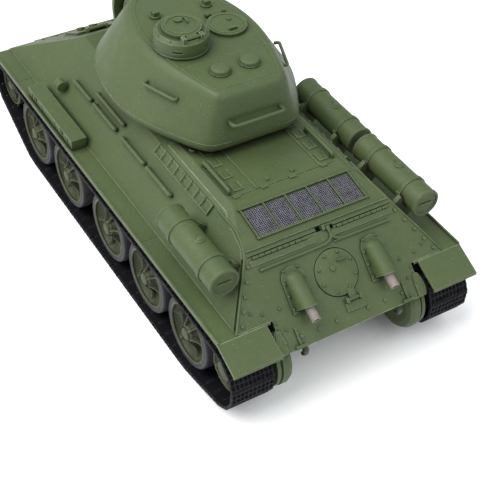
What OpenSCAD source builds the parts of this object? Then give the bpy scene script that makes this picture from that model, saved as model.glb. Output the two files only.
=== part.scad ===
// Radio controlled medium tank, about 1:24 scale.
// Millimetres. +X runs to the muzzle, +Y to the left side, +Z up.
// The origin is the middle of the overall length and width, on the ground under the tracks.

/* [Turret and gun] */
// Height of the flat turret roof above the ground
turret_roof_z = 100.5; // [99:0.5:102]
// Wall thickness of the hollow turret casting
turret_wall = 2; // [1.6:0.1:2.4]
// Muzzle position ahead of the origin
muzzle_x = 168.4; // [150:0.2:168.4]
// Bore diameter of the gun barrel
gun_bore_d = 3.6; // [2:0.1:4]
// Outside diameter of the commander's cupola
cupola_d = 25; // [24:0.5:26]
// Height of the cupola wall above the turret roof
cupola_h = 8.5; // [7:0.5:10]

/* [Hull] */
// Wall thickness of the moulded hull
wall = 2; // [1.6:0.1:2.2]
// Height of the belly above the ground
belly_z = 16.7; // [16.2:0.1:17.2]
// Thickness of the rear plate
rear_t = 1.8; // [1.4:0.1:2]
// Diameter of the round transmission hatch
trans_hatch_d = 21; // [19:0.5:22]
// Diameter of each fuel drum
drum_d = 14.2; // [13:0.1:14.6]

/* [Running gear] */
// Outside diameter of the road wheels over the tyres
wheel_d = 34.6; // [34:0.1:34.8]
// Diameter of the rear drive sprocket discs
sprocket_d = 20.6; // [19.6:0.2:20.8]
// Diameter of the front idler
idler_d = 21.6; // [20:0.2:22]
// Thickness of the track belt
track_t = 1.3; // [1.1:0.1:1.3]
// Number of guide horns on each level run of the track
horn_count = 12; // [6:1:14]

/* [Hidden] */

green = [0.38, 0.44, 0.30];
dark_green = [0.32, 0.38, 0.26];
steel = [0.35, 0.35, 0.36];
black = [0.09, 0.09, 0.10];
board = [0.10, 0.32, 0.20];
eps = 0.01;
run_fit = 0.05;

// hull section, across the vehicle
guard_z = 43.8;
ridge_y = 33.9;
ridge_z = 66.4;
deck_y = 28.5;
deck_z = 69;
sill_y = 52.8;
tub_y = 37;
guard_y = 62.3;
// hull profile, along the vehicle
nose_x = 85.5;
nose_z = 41;
glacis_top_x = 37;
deck_front_x = -58;
deck_bend_x = -108.5;
grille_end_x = -128.5;
rear_x = -133;
rear_z = 62.5;
rear_low_x = -165.1;
rear_low_z = 33.6;
belly_front_x = 43.4;
belly_rear_x = -145.2;
deck_t = 1.8;
// slope of the engine deck behind the bend, the rear plate and the flanks
deck_fall = atan(4 / 20);
rear_lean = 42;
flank_lean = 50;
// running gear
track_y = 51.4;
track_w = 20.6;
wheel_x = [37.5, -1.5, -46, -84.5, -123];
wheel_r = wheel_d / 2;
belt_gap = 0.3;
wheel_z = track_t + belt_gap + wheel_r;
sprocket_x = -151.2;
sprocket_z = 21.5;
sprocket_r = sprocket_d / 2;
// radius the belt is wrapped on at the sprocket
wrap_r = 14;
idler_x = 70.5;
idler_z = 28;
idler_r = idler_d / 2;
// turret
ring_x = -22.5;
ring_r = 31;
turret_z = 71;
trunnion_x = 14;
trunnion_z = 85;
barrel_r = 5;
cupola_x = -34;
cupola_y = 12.5;
cupola_z = turret_roof_z + 0.3;
loader_x = -30;
loader_y = -13.5;

$fn = 64;

// ---- frames -------------------------------------------------------------
// rear plate: +X up the plate, +Z out of it, origin at the middle of its top edge
module on_rear(down = 0, side = 0, out = 0) {
    translate([rear_x, 0, rear_z])
        rotate([0, -rear_lean, 0])
            translate([-down, side, out])
                children();
}

// flank: +X forward, +Y down the slope from the ridge, +Z out of the plate
module on_flank(side, x = 0, down = 0, out = 0) {
    mirror([0, side < 0 ? 1 : 0, 0])
        translate([0, ridge_y, ridge_z])
            rotate([-flank_lean, 0, 0])
                translate([x, down, out])
                    children();
}

// glacis: +X down the plate, +Z out of it, origin at the middle of its top edge
module on_glacis(down = 0, side = 0, out = 0) {
    translate([glacis_top_x, 0, deck_z])
        rotate([0, 30, 0])
            translate([down, side, out])
                children();
}

// sloping part of the engine deck: +X up the slope, +Z out of it
module on_deck_slope(back = 0, side = 0, out = 0) {
    translate([deck_bend_x, 0, deck_z])
        rotate([0, -deck_fall, 0])
            translate([-back, side, out])
                children();
}

module both_sides() {
    children();
    mirror([0, 1, 0])
        children();
}

// bar lying along Y, centred
module y_rod(r, len) {
    rotate([90, 0, 0])
        cylinder(r = r, h = len, center = true);
}

// bar lying along X, starting at the origin
module x_rod(r, len) {
    rotate([0, 90, 0])
        cylinder(r = r, h = len);
}

// drawn in X-Z, given a width along Y and centred
module across(width) {
    rotate([90, 0, 0])
        linear_extrude(width, center = true)
            children();
}

// drawn in Y-Z, given a length along X from x0
module along(x0, x1) {
    translate([x0, 0, 0])
        rotate([90, 0, 90])
            linear_extrude(x1 - x0)
                children();
}

// low round-headed rivet or bolt head, 0.7 high
module bolt_head(r = 0.8) {
    cylinder(r = r, h = 0.7, $fn = 6);
}

// handrail lying along +X on two feet
module rail(len, rise, r) {
    translate([0, 0, rise])
        x_rod(r, len);
    for (x = [1.4 * r, len - 1.4 * r])
        translate([x, 0, -eps])
            cylinder(r = 0.8 * r, h = rise);
}

// ---- hull -----------------------------------------------------------------
module hull_section() {
    polygon([
        [-sill_y, guard_z], [-ridge_y, ridge_z], [-deck_y, deck_z],
        [deck_y, deck_z], [ridge_y, ridge_z], [sill_y, guard_z]
    ]);
}

module hull_section_inner() {
    polygon([
        [-sill_y + 4, guard_z + 1.6], [-ridge_y + 1.4, ridge_z - 1.6], [-deck_y, deck_z - 2.4],
        [deck_y, deck_z - 2.4], [ridge_y - 1.4, ridge_z - 1.6], [sill_y - 4, guard_z + 1.6]
    ]);
}

module lower_hull_outline() {
    polygon([
        [belly_rear_x, belly_z], [belly_front_x, belly_z], [nose_x, nose_z],
        [80.65, guard_z], [-151.08, guard_z], [-162.4, rear_low_z], [rear_low_x, rear_low_z]
    ]);
}

module lower_hull() {
    color(green)
    difference() {
        across(2 * tub_y)
            lower_hull_outline();
        across(2 * (tub_y - wall))
            polygon([
                [-144.5, belly_z + 2], [42.8, belly_z + 2], [81.5, 41], [76.6, guard_z],
                [76.6, 60], [-180, 60], [-180, 35.2], [-163.8, 35.2]
            ]);
        translate([-60, -20, belly_z - 1])
            cube([70, 40, 4]);
        for (x = [-100, 25])
            translate([x, 0, belly_z - 1])
                cylinder(r = 1.2, h = 4);
        // slots behind the upper corners of the rear plate's lower part
        for (y = [-tub_y - 0.1, tub_y - 1.3])
            on_rear(32.2, y, -8)
                cube([3.8, 1.4, 10]);
    }
}

module upper_hull() {
    color(green)
    driver_hinge();
    color(green)
    difference() {
        intersection() {
            along(-152, 82)
                hull_section();
            across(120)
                polygon([
                    [-151.08, guard_z], [-131.8, 61.16], [-128.4, 63.2],
                    [deck_bend_x - 0.2, deck_z - deck_t], [deck_front_x, deck_z - deck_t],
                    [deck_front_x, deck_z], [glacis_top_x, deck_z], [80.65, guard_z]
                ]);
        }
        intersection() {
            along(-170, 82)
                hull_section_inner();
            across(120)
                polygon([
                    [-175, guard_z + 1.6], [73.9, guard_z + 1.6], [37.2, 66.6],
                    [-56, 66.6], [-56, 64.9], [-109, 64.9], [-132, 60.3], [-175, 60.3]
                ]);
        }
        translate([-165, -tub_y + 2, guard_z - 1])
            cube([241.6, 2 * tub_y - 4, 4]);
        translate([ring_x, 0, deck_z - 6])
            cylinder(r = ring_r, h = 8);
        translate([-112, -24, 55])
            cube([46, 48, 20]);
        on_deck_slope(19.2, -27, -5)
            cube([14.5, 54, 8]);
        on_glacis(13, 6, -6)
            cube([19, 21, 9]);
        on_glacis(19, -18, -6)
            cylinder(r = 3.8, h = 9);
    }
}

module engine_deck() {
    color(green)
    difference() {
        union() {
            intersection() {
                along(-135, deck_front_x)
                    hull_section();
                across(120)
                    polygon([
                        [-131.8, 61.16], [-128.4, 63.2], [deck_bend_x - 0.2, deck_z - deck_t],
                        [deck_front_x, deck_z - deck_t], [deck_front_x, deck_z],
                        [deck_bend_x, deck_z], [grille_end_x, 65], [rear_x, rear_z]
                    ]);
            }
            // raised edges of the access panel and the rows of ribs beside it
            for (y = [-19.2, 13.8])
                translate([-103.6, y, deck_z])
                    cube([43, 0.6, 0.35]);
            for (y = [-25, 19])
                for (i = [0 : 4])
                    translate([-101.5 + 9 * i, y, deck_z])
                        difference() {
                            cube([5.6, 4.6, 0.45]);
                            translate([0.7, 0.7, -1])
                                cube([4.9, 3.2, 3]);
                        }
            // grab rails along the deck edges
            for (y = [-26.7, 26.7])
                translate([-101.5, y, deck_z])
                    rail(21.3, 2.2, 0.8);
            // filler caps under the turret overhang
            for (x = [-62, -68])
                translate([x, 25.4, deck_z - eps])
                    cylinder(r = 1.6, h = 0.9);
            // panel fasteners
            for (y = [-6.1, 6.8])
                translate([-100.7, y, deck_z])
                    bolt_head(0.9);
        }
        // joint across the deck
        translate([-104.6, -27, deck_z - 0.4])
            cube([0.5, 54, 1]);
        on_deck_slope(18.9, -27.2, -5)
            cube([14.2, 54.4, 8]);
    }
}

module grille_frame() {
    color(green)
    difference() {
        union() {
            on_deck_slope(20.3, -28.5, 0)
                cube([16.9, 57, 0.9]);
            for (i = [0 : 5])
                for (x = [4.2, 19.5])
                    on_deck_slope(x, -27.6 + 11.04 * i, 0.9)
                        cylinder(r = 0.45, h = 0.35, $fn = 6);
        }
        for (i = [0 : 4])
            on_deck_slope(19, -26.9 + 10.92 * i, -1)
                cube([14.3, 10.1, 3]);
    }
}

module grille_mesh() {
    color(steel)
    for (i = [0 : 4])
        on_deck_slope(18.8, -27 + 10.92 * i, -0.5)
            linear_extrude(0.5)
                difference() {
                    square([14, 10.3]);
                    for (a = [0 : 5])
                        for (b = [0 : 3])
                            translate([0.7 + 2.15 * a, 0.75 + 2.3 * b])
                                square([1.85, 1.9]);
                }
}

// left edge of the rear plate, from the top down, with a rounded ear at the bottom
rear_edge = [
    [0, 37.1], [-28.1, sill_y + 0.1], [-28.1, 35.7], [-32.2, 35.7], [-33.2, 37], [-35, 37.9],
    [-37.5, 38.45], [-39.7, 38.6], [-41.6, 38.3], [-43.2, 37.4]
];

module rear_plate() {
    color(green)
    difference() {
        union() {
            on_rear(0, 0, -rear_t)
                linear_extrude(rear_t)
                    polygon(concat(rear_edge, [
                        for (i = [len(rear_edge) - 1 : -1 : 0])
                            [rear_edge[i][0], -rear_edge[i][1]]
                    ]));
            // raised cover over each lower corner
            for (side = [0, 1])
                mirror([0, side, 0])
                    on_rear(0, 0, -0.5)
                        linear_extrude(0.9)
                            polygon([
                                [-33, 34.5], [-33, 35.6], [-34.2, 36.8], [-36, 37.4],
                                [-38, 37.8], [-39.7, 38], [-41.2, 37.6], [-42.5, 36.9],
                                [-42.5, 33.9], [-37, 33.8]
                            ]);
            // hinge strips along the top edge
            for (side = [-1, 1])
                for (i = [0 : 8])
                    on_rear(1.2, side * (9 + 3 * i), 0.5)
                        y_rod(0.6, 2.6);
            for (y = [4.5, -36])
                on_rear(4.4, y, 0)
                    cube([2.2, 31.5, 0.5]);
            // conduit along the top of the plate
            for (side = [-1, 1])
                on_rear(6.9, side * 18.5, 0.3)
                    y_rod(0.5, 29);
            // bolts
            for (side = [-1, 1]) {
                for (i = [0 : 4])
                    on_rear(4 + 5.4 * i, side * (37.4 + 2.95 * i), 0)
                        bolt_head(0.7);
                for (y = [8, 17, 26, 34])
                    on_rear(38.5, side * y, 0)
                        bolt_head(0.7);
                on_rear(42.3, side * 27.7, 0.6)
                    y_rod(0.8, 5);
                on_rear(42.1, side * 27.7 - 0.4, -0.5)
                    cube([8, 0.8, 1.3]);
            }
            // leaf and ears of the hatch hinge
            for (y = [-6.2, 0.6])
                on_rear(33.2, y - 0.6, -eps)
                    cube([2, 1.2, 2]);
            on_rear(37, -7.6, -eps)
                cube([3.4, 9.4, 0.6]);
        }
        on_rear(19.4, 0, -rear_t - 1)
            cylinder(d = trans_hatch_d + 0.5, h = rear_t + 4);
        on_rear(32.2, -2.8, 1.2)
            y_rod(0.55, 20);
        // the bottom edge is level, so it sits square on the lower hull
        translate([-180, -60, rear_low_z - 5])
            cube([60, 120, 5]);
        for (side = [0, 1])
            mirror([0, side, 0])
                translate([-154.6, tub_y, guard_z - 3])
                    cube([20, 24, 3]);
    }
}

module transmission_hatch() {
    color(green) {
        on_rear(19.4, 0, -rear_t)
            difference() {
                union() {
                    cylinder(d = trans_hatch_d, h = rear_t + 0.5);
                    for (i = [0 : 7])
                        rotate([0, 0, 22.5 + 45 * i])
                            translate([trans_hatch_d / 2 - 1.7, 0, rear_t + 0.5])
                                bolt_head(0.7);
                    translate([4.6, -3.6, rear_t + 1.4])
                        rotate([90, 0, 0])
                            cylinder(r = 0.5, h = 5, center = true);
                    for (y = [-5.6, -1.6])
                        translate([4.6, y, rear_t])
                            cylinder(r = 0.5, h = 1.4);
                    translate([2.2, 1.5, rear_t])
                        cylinder(r = 1.4, h = 1);
                }
                translate([0, 0, -1])
                    cylinder(r = 0.4, h = 1.4);
            }
        on_rear(32.2, -2.8, 1.2)
            y_rod(0.8, 4.8);
        on_rear(32.2, -2.8, 1.2)
            y_rod(0.5, 8);
        on_rear(31.8, -4.6, 0.5)
            cube([5.5, 3.6, 0.7]);
    }
}

module battery_cover() {
    color(dark_green)
    difference() {
        translate([-59.8, -19.8, belly_z])
            cube([69.6, 39.6, 1.8]);
        for (i = [0 : 3])
            translate([-54 + 2 * i, -8, belly_z - 1])
                cube([0.8, 16, 1.4]);
    }
}

module side_louvres() {
    color(green)
    both_sides()
        difference() {
            union() {
                on_flank(1, -102.4, 0.2, 0)
                    cube([48.4, 5.3, 0.6]);
                for (i = [0 : 8])
                    on_flank(1, -102.4 + 5.95 * i, 0.2, 0.6)
                        cube([0.8, 5.3, 0.4]);
                on_flank(1, -102.4, 4.9, 0.6)
                    cube([48.4, 0.6, 0.4]);
            }
            for (i = [0 : 7])
                on_flank(1, -101.2 + 5.95 * i, 1, 0.3)
                    cube([4.3, 3.5, 1]);
        }
}

// half section of the cowl, domed at its closed end
module cowl_profile() {
    r = 4.1;
    polygon([
        for (a = [-90 : 10 : 0])
            [r * cos(a), r * sin(a)],
        [r, 13.4], [0, 13.4]
    ]);
}

module exhaust_covers() {
    color(green)
    both_sides()
        difference() {
            union() {
                on_rear(29.3, 20.2, 0)
                    linear_extrude(0.8)
                        union() {
                            translate([0, -5.65])
                                square([13, 11.3]);
                            translate([13, 0])
                                circle(r = 5.65);
                        }
                on_rear(15.3, 20.2, 0.2)
                    rotate([0, 20, 0])
                        rotate([0, -90, 0])
                            rotate_extrude()
                                cowl_profile();
                for (p = [[12, -3.9], [12, 3.9], [18, -4.7], [18, 4.7], [27.5, -4.7], [27.5, 4.7]])
                    on_rear(p[0], 20.2 + p[1], 0.8)
                        bolt_head(0.65);
            }
            on_rear(40, 0, -20)
                cube([40, 40, 20]);
            on_rear(15.3, 20.2, 0.2)
                rotate([0, 20, 0])
                    rotate([0, -90, 0])
                        translate([0, 0, 7])
                            cylinder(r = 2.1, h = 10);
        }
}

module exhaust_pipes() {
    color(steel)
    both_sides()
        on_rear(15.3, 20.2, 0.2)
            rotate([0, 20, 0])
                rotate([0, -90, 0])
                    difference() {
                        translate([0, 0, 7])
                            cylinder(r = 2.1, h = 12.8);
                        translate([0, 0, 8])
                            cylinder(r = 1.2, h = 12);
                    }
}

module fenders() {
    color(green)
    both_sides()
        difference() {
            union() {
                translate([0, (guard_y + tub_y) / 2, 0])
                    across(guard_y - tub_y)
                        polygon([
                            [-154.5, guard_z - 1], [74, guard_z - 1], [80, 42], [85, 39.2],
                            [85.4, 40], [80.4, 43], [74.4, guard_z], [-154.5, guard_z]
                        ]);
                translate([-154.5, guard_y - 0.8, guard_z])
                    cube([228.5, 0.8, 0.9]);
            }
            for (x = [-86.2, -17.2, 50])
                translate([x, sill_y + 0.3, guard_z - 0.3])
                    cube([0.4, 8, 1]);
        }
}

module mud_flaps() {
    color(green)
    both_sides()
        translate([0, 50.65, 0])
            across(23.3)
                polygon([
                    [-154.5, guard_z], [-168.2, 37.9], [-168.4, 36.6], [-167.6, 36.6],
                    [-167.4, 37.2], [-154.5, 42.8]
                ]);
}

module fuel_drum() {
    r = drum_d / 2;
    len = 46.5;
    difference() {
        union() {
            x_rod(r - 0.4, len);
            for (x = [0, len - 1.2])
                translate([x, 0, 0])
                    x_rod(r, 1.2);
            for (x = [10.5, 35])
                translate([x, 0, 0])
                    x_rod(r, 1.4);
            translate([21, 0, r - 1.2])
                cylinder(r = 1.9, h = 2.2);
        }
        for (x = [-1, len - 0.8])
            translate([x, 0, 0])
                x_rod(r - 1.2, 1.8);
    }
    for (x = [0.2, len - 0.8])
        translate([x, -r + 1.6, -0.6])
            cube([0.6, 2 * r - 3.2, 1.2]);
}

module fuel_drums() {
    color(green) {
        for (x = [-140.5, -90.5])
            translate([x, -51.1, 61.2])
                fuel_drum();
        translate([-140.5, 51.1, 61.2])
            fuel_drum();
    }
}

// saddles between each drum and the sloping flank
module drum_brackets() {
    color(dark_green)
    for (p = [[-1, -133], [-1, -106], [-1, -83], [-1, -56], [1, -133], [1, -106]])
        difference() {
            on_flank(p[0], p[1], 8.4, 0)
                cube([2, 13.4, 4.6]);
            translate([p[1] - 1, p[0] * 51.1, 61.2])
                x_rod(drum_d / 2, 5);
        }
}

module toolbox() {
    color(green) {
        translate([-14, 53, guard_z])
            cube([50, 7.6, 5.2]);
        translate([-14.3, 52.9, 49])
            cube([50.6, 7.9, 0.7]);
        for (x = [-4, 26])
            translate([x, 60.6, 47.2])
                cube([3, 0.6, 1.6]);
    }
}

module hull_handrails() {
    color(green) {
        // the right flank carries only the two ahead of its second drum
        for (p = [
            [1, 0.4, 18.3], [1, -25.8, 22.9], [1, -54.3, 21.8], [1, -79.3, 22.1],
            [-1, 0.4, 18.3], [-1, -25.8, 22.9]
        ])
            on_flank(p[0], p[1], 12.1, 0)
                rail(p[2], 2, 0.9);
        on_flank(1, -28.4, 7.4, 0)
            rail(28.5, 1.8, 0.8);
    }
}

module headlight() {
    color(green)
    on_flank(1, 24, 18.6, 0) {
        cylinder(r = 1.3, h = 2.6);
        translate([-2.2, 0, 3.2])
            difference() {
                x_rod(2.7, 4.6);
                translate([4.2, 0, 0])
                    x_rod(2.2, 2);
            }
    }
}

module bow_gun() {
    color(green)
    on_glacis(19, -18, 0)
        difference() {
            union() {
                translate([0, 0, -1.9])
                    cylinder(r = 3.4, h = 1.9);
                cylinder(r = 4.6, h = 1);
                sphere(r = 3.6);
                translate([0, 0, 0.4])
                    rotate([0, 60, 0])
                        cylinder(r = 1.1, h = 9);
            }
            translate([-10, -10, -12])
                cube([20, 20, 10]);
            translate([0, 0, 0.4])
                rotate([0, 60, 0])
                    translate([0, 0, 6])
                        cylinder(r = 0.5, h = 5);
        }
}

module driver_hatch() {
    color(green) {
        on_glacis(13.3, 6.3, -1.2)
            cube([18.4, 20.4, 2.4]);
        for (y = [12, 19])
            on_glacis(22, y, 1.1)
                cube([6, 2.6, 1.5]);
        on_glacis(12.2, 16.5, 1.4)
            y_rod(1.2, 9);
        on_glacis(12.2, 16.5, 1.4)
            y_rod(0.6, 12.6);
        on_glacis(12.2, 12.5, 0.9)
            cube([2.4, 8, 0.9]);
    }
}

// hinge ears of the driver's hatch
module driver_hinge() {
    difference() {
        for (y = [10.2, 21.2]) {
            on_glacis(11, y, -eps)
                cube([2, 1.6, 1.4]);
            on_glacis(12.2, y + 0.8, 1.4)
                y_rod(0.98, 1.6);
        }
        on_glacis(12.2, 16.5, 1.4)
            y_rod(0.65, 16);
    }
}

// ---- running gear -----------------------------------------------------------
// directions in which a tangent leaves two circles, on the upper and the lower side
function tangent_dir(a, ra, b, rb, side) =
    atan2(b[1] - a[1], b[0] - a[0]) + side * acos((ra - rb) / norm(b - a));

// the belt is a chain of flat links, so its bends are drawn in short straight steps
function bend(c, r, from, to) = [
    for (i = [0 : ceil((from - to) / 9)])
        let (t = from + (to - from) * i / ceil((from - to) / 9))
            c + r * [cos(t), sin(t)]
];

// area enclosed by the belt, grown by g beyond the wheels
module belt_area(g) {
    s = [sprocket_x, sprocket_z];
    w5 = [wheel_x[4], wheel_z];
    w1 = [wheel_x[0], wheel_z];
    i = [idler_x, idler_z];
    rs = wrap_r + g;
    rw = wheel_r + g;
    ri = idler_r + g;
    rear_low = tangent_dir(s, rs, w5, rw, -1);
    rear_high = tangent_dir(s, rs, w5, rw, 1);
    front_low = tangent_dir(w1, rw, i, ri, -1);
    front_high = tangent_dir(w1, rw, i, ri, 1);
    polygon(concat(
        bend(w5, rw, -90, rear_low),
        bend(s, rs, rear_low, rear_high - 360),
        [w5 + rw * [0, 1], w1 + rw * [0, 1]],
        bend(i, ri, front_high, front_low),
        bend(w1, rw, front_low, -90)
    ));
}

horn_h = 2.9;
horn_len = 4;
hub_in = 43.2;
hub_out = 58.4;
wheel_mid = (hub_in + hub_out) / 2;

module horn() {
    translate([-horn_len / 2, -1.2, -eps])
        cube([horn_len, 2.4, horn_h]);
}

module track() {
    difference() {
        across(track_w)
            belt_area(belt_gap + track_t);
        across(track_w + 2)
            belt_area(belt_gap);
    }
    // guide horns on the level runs, between the two tyres of each wheel
    pitch = (wheel_x[0] - wheel_x[4]) / horn_count;
    for (i = [0 : horn_count - 1]) {
        x = wheel_x[4] + pitch * (i + 0.5);
        translate([x, wheel_mid - track_y, track_t])
            horn();
        translate([x, wheel_mid - track_y, track_t + 2 * (belt_gap + wheel_r)])
            rotate([0, 180, 0])
                horn();
    }
}

module track_left() {
    color(black)
    translate([0, track_y, 0])
        track();
}

module track_right() {
    color(black)
    mirror([0, 1, 0])
        translate([0, track_y, 0])
            track();
}

disc_w = 6;
rim_r = wheel_r - 2.7;
pin_r = 1.6;

// road wheel for the left side, axle along Y through the origin
module road_wheel() {
    difference() {
        union() {
            for (y = [hub_in + disc_w / 2, hub_out - disc_w / 2])
                translate([0, y, 0])
                    difference() {
                        y_rod(rim_r, disc_w);
                        y_rod(rim_r - 1.6, disc_w + 1);
                    }
            for (y = [hub_in + 3.2, hub_out - 3.2])
                translate([0, y, 0])
                    y_rod(rim_r - 1, 1.4);
            translate([0, (hub_in + hub_out) / 2, 0])
                y_rod(4.4, hub_out - hub_in);
            translate([0, hub_out, 0])
                y_rod(2.6, 1.6);
            for (a = [0 : 60 : 300])
                rotate([0, a, 0])
                    translate([3.6, hub_out - 2.8, -0.7])
                        cube([rim_r - 4.8, 1.9, 1.4]);
            for (a = [30 : 60 : 330])
                rotate([0, a, 0])
                    translate([3.4, hub_out + 0.2, 0])
                        y_rod(0.6, 0.6);
        }
        for (a = [30 : 60 : 330])
            rotate([0, a, 0])
                translate([8.6, (hub_in + hub_out) / 2, 0])
                    y_rod(2, 30);
        translate([0, hub_in + (hub_out - 1 - hub_in) / 2 - 1, 0])
            y_rod(pin_r + run_fit, hub_out - 1 - hub_in + 2);
    }
}

module tyre() {
    for (y = [hub_in + disc_w / 2, hub_out - disc_w / 2])
        translate([0, y, 0])
            difference() {
                y_rod(wheel_r, disc_w);
                y_rod(rim_r, disc_w + 1);
            }
}

module wheel_node(side, i, kind) {
    mirror([0, side < 0 ? 1 : 0, 0])
        translate([wheel_x[i], 0, wheel_z])
            if (kind == 0)
                color(green)
                    road_wheel();
            else
                color(black)
                    tyre();
}

// two discs either side of a notched ring that runs on the belt between the tyres
module sprocket() {
    ring_r = wrap_r - 0.1;
    difference() {
        union() {
            for (y = [wheel_mid - 3.5, wheel_mid + 3.5])
                translate([0, y, 0])
                    difference() {
                        y_rod(sprocket_r, 3.2);
                        translate([0, y > wheel_mid ? 1.3 : -1.3, 0])
                            y_rod(sprocket_r - 1.5, 2);
                    }
            translate([0, wheel_mid, 0])
                y_rod(ring_r, 2.4);
            translate([0, 51.8, 0])
                y_rod(3.8, 11.6);
            for (a = [0 : 60 : 300])
                rotate([0, a, 0]) {
                    translate([6.6, wheel_mid, 0])
                        y_rod(1.3, 4);
                    translate([3, 55.3, -0.6])
                        cube([sprocket_r - 4, 1, 1.2]);
                }
            translate([0, 55.8, 0])
                y_rod(4.4, 3.2);
        }
        for (a = [30 : 60 : 330])
            rotate([0, a, 0])
                translate([6.6, 54.5, 0])
                    y_rod(1.3, 30);
        for (a = [0 : 20 : 340])
            rotate([0, a, 0])
                translate([ring_r - 1.6, wheel_mid - 2, -0.9])
                    cube([4, 4, 1.8]);
        translate([0, 49, 0])
            y_rod(pin_r + run_fit, 14);
    }
}

module idler() {
    difference() {
        union() {
            for (y = [46.7, 55.1])
                translate([0, y, 0])
                    difference() {
                        y_rod(idler_r, 5);
                        y_rod(idler_r - 1.6, 6);
                    }
            for (y = [46.7, 55.1])
                translate([0, y, 0])
                    y_rod(idler_r - 1, 1.4);
            translate([0, 51.6, 0])
                y_rod(3.6, 13.6);
            for (a = [0 : 60 : 300])
                rotate([0, a, 0])
                    translate([3, 55.4, -0.6])
                        cube([idler_r - 4.2, 1.8, 1.2]);
        }
        for (a = [30 : 60 : 330])
            rotate([0, a, 0])
                translate([6.6, 51, 0])
                    y_rod(1.4, 30);
        translate([0, 49, 0])
            y_rod(pin_r + run_fit, 16);
    }
}

module gear_left(part) {
    color(green)
    if (part == "sprocket")
        translate([sprocket_x, 0, sprocket_z])
            sprocket();
    else
        translate([idler_x, 0, idler_z])
            idler();
}

// stub axles on trailing arms for the road wheels, cranks for the idlers
module axle_arms() {
    color(dark_green)
    both_sides() {
        for (x = wheel_x) {
            translate([x, tub_y + 2.4, wheel_z])
                y_rod(4.2, 4.8);
            translate([x, (tub_y + 56.6) / 2, wheel_z])
                y_rod(pin_r, 56.6 - tub_y);
            translate([x, tub_y + 2, wheel_z])
                rotate([0, -35, 0])
                    translate([0, 0, -2.2])
                        translate([0, -2, 0])
                            cube([12, 4, 4.4]);
        }
        translate([idler_x, tub_y + 2.4, idler_z])
            y_rod(4, 4.8);
        translate([idler_x, (tub_y + 56) / 2, idler_z])
            y_rod(pin_r, 56 - tub_y);
    }
}

// stepped drum under each end of the rear plate, drawn as radius against distance out
module drive_drum() {
    rotate([-90, 0, 0])
        rotate_extrude()
            polygon([
                [0, 30.5], [11, 30.5], [13.6, 31.3], [14.6, 33], [14.6, 35.9], [13.5, 36.3],
                [13.5, 36.7], [14.2, 37.1], [14.2, 38.6], [8, 39.2], [8, 41], [4.6, 43], [0, 43]
            ]);
}

module final_drives() {
    color(green)
    both_sides()
        difference() {
            translate([sprocket_x, 0, sprocket_z]) {
                drive_drum();
                translate([0, (tub_y + 54.6) / 2, 0])
                    y_rod(pin_r, 54.6 - tub_y);
                for (a = [0 : 45 : 315])
                    rotate([0, a, 0])
                        translate([11.4, 38.8, 0])
                            y_rod(0.7, 1.4);
            }
            across(2 * tub_y)
                lower_hull_outline();
        }
}

// ---- inside the hull ----------------------------------------------------------
module battery_pack() {
    color([0.15, 0.2, 0.45])
    translate([-58, -17, belly_z + 2])
        cube([64, 34, 16]);
}

module control_board() {
    color(board) {
        translate([14, -20, belly_z + 8])
            cube([26, 40, 1.6]);
        for (y = [-16, 16])
            for (x = [18, 36])
                translate([x, y, belly_z + 2])
                    cylinder(r = 1.8, h = 6);
        translate([20, -8, belly_z + 9.6])
            cube([12, 16, 3]);
    }
}

module drive_units() {
    color(steel) {
        for (side = [-1, 1]) {
            translate([-134, side * 17.5, belly_z + 9.2])
                y_rod(7, 30);
            translate([-142, side * 33.4 - 1.6, belly_z + 2])
                cube([26, 3.2, 16]);
        }
        translate([-126, -20, belly_z + 2])
            cube([8, 40, 4]);
    }
}

module screws() {
    color(steel)
    for (x = [-135, -75, 20])
        for (y = [-27, 27])
            translate([x, y, belly_z - 0.7])
                cylinder(r = 1.6, h = 0.7);
}

// ---- turret ---------------------------------------------------------------------
// the casting is the hull of level outlines, given as half outlines from the rear round to the front
low_line = [
    [-79.5, 0], [-79.5, 10], [-79.3, 19], [-76.5, 24.5], [-68, 30], [-58, 35.5], [-46, 41],
    [-33, 43.8], [-18, 43.8], [-4, 41], [8, 36.5], [17, 30], [23, 23], [26, 15], [26.5, 0]
];
roof_line = [
    [-76, 0], [-76, 9], [-75.7, 15], [-73.5, 18.5], [-64, 21.5], [-54, 24.5], [-42, 27.2],
    [-30, 28.5], [-18, 28], [-7, 25.5], [2, 22], [9, 18], [14, 13], [16, 8], [16.5, 0]
];

// outline blended from the lower belt (0) to the roof (1) and drawn in by d
function turret_line(blend, d) = [
    for (i = [0 : len(low_line) - 1])
        let (p = low_line[i] * (1 - blend) + roof_line[i] * blend)
            let (c = [p[0] + 26, p[1]])
                [p[0] - d * c[0] / norm(c), p[1] - d * c[1] / norm(c)]
];

module turret_layer(z, blend, d) {
    half = turret_line(blend, d);
    n = len(half);
    translate([0, 0, z])
        linear_extrude(0.02)
            polygon([
                for (i = [0 : 2 * n - 1])
                    i < n ? half[i] : [half[2 * n - 1 - i][0], -half[2 * n - 1 - i][1]]
            ]);
}

module turret_form(inset) {
    h = turret_roof_z - turret_z;
    hull()
        for (p = [
            [0, 0, 5.2], [0.7, 0, 3.2], [2, 0, 1.4], [3.8, 0, 0.3], [6, 0, 0],
            [h - 4, 0.87, 0], [h - 2.2, 0.94, 0.3], [h - 1, 0.98, 1], [h - 0.3, 1, 1.9],
            [h - 0.02, 1, 3]
        ])
            turret_layer(turret_z + min(max(p[0], inset), h - inset), p[1], p[2] + inset);
}

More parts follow.
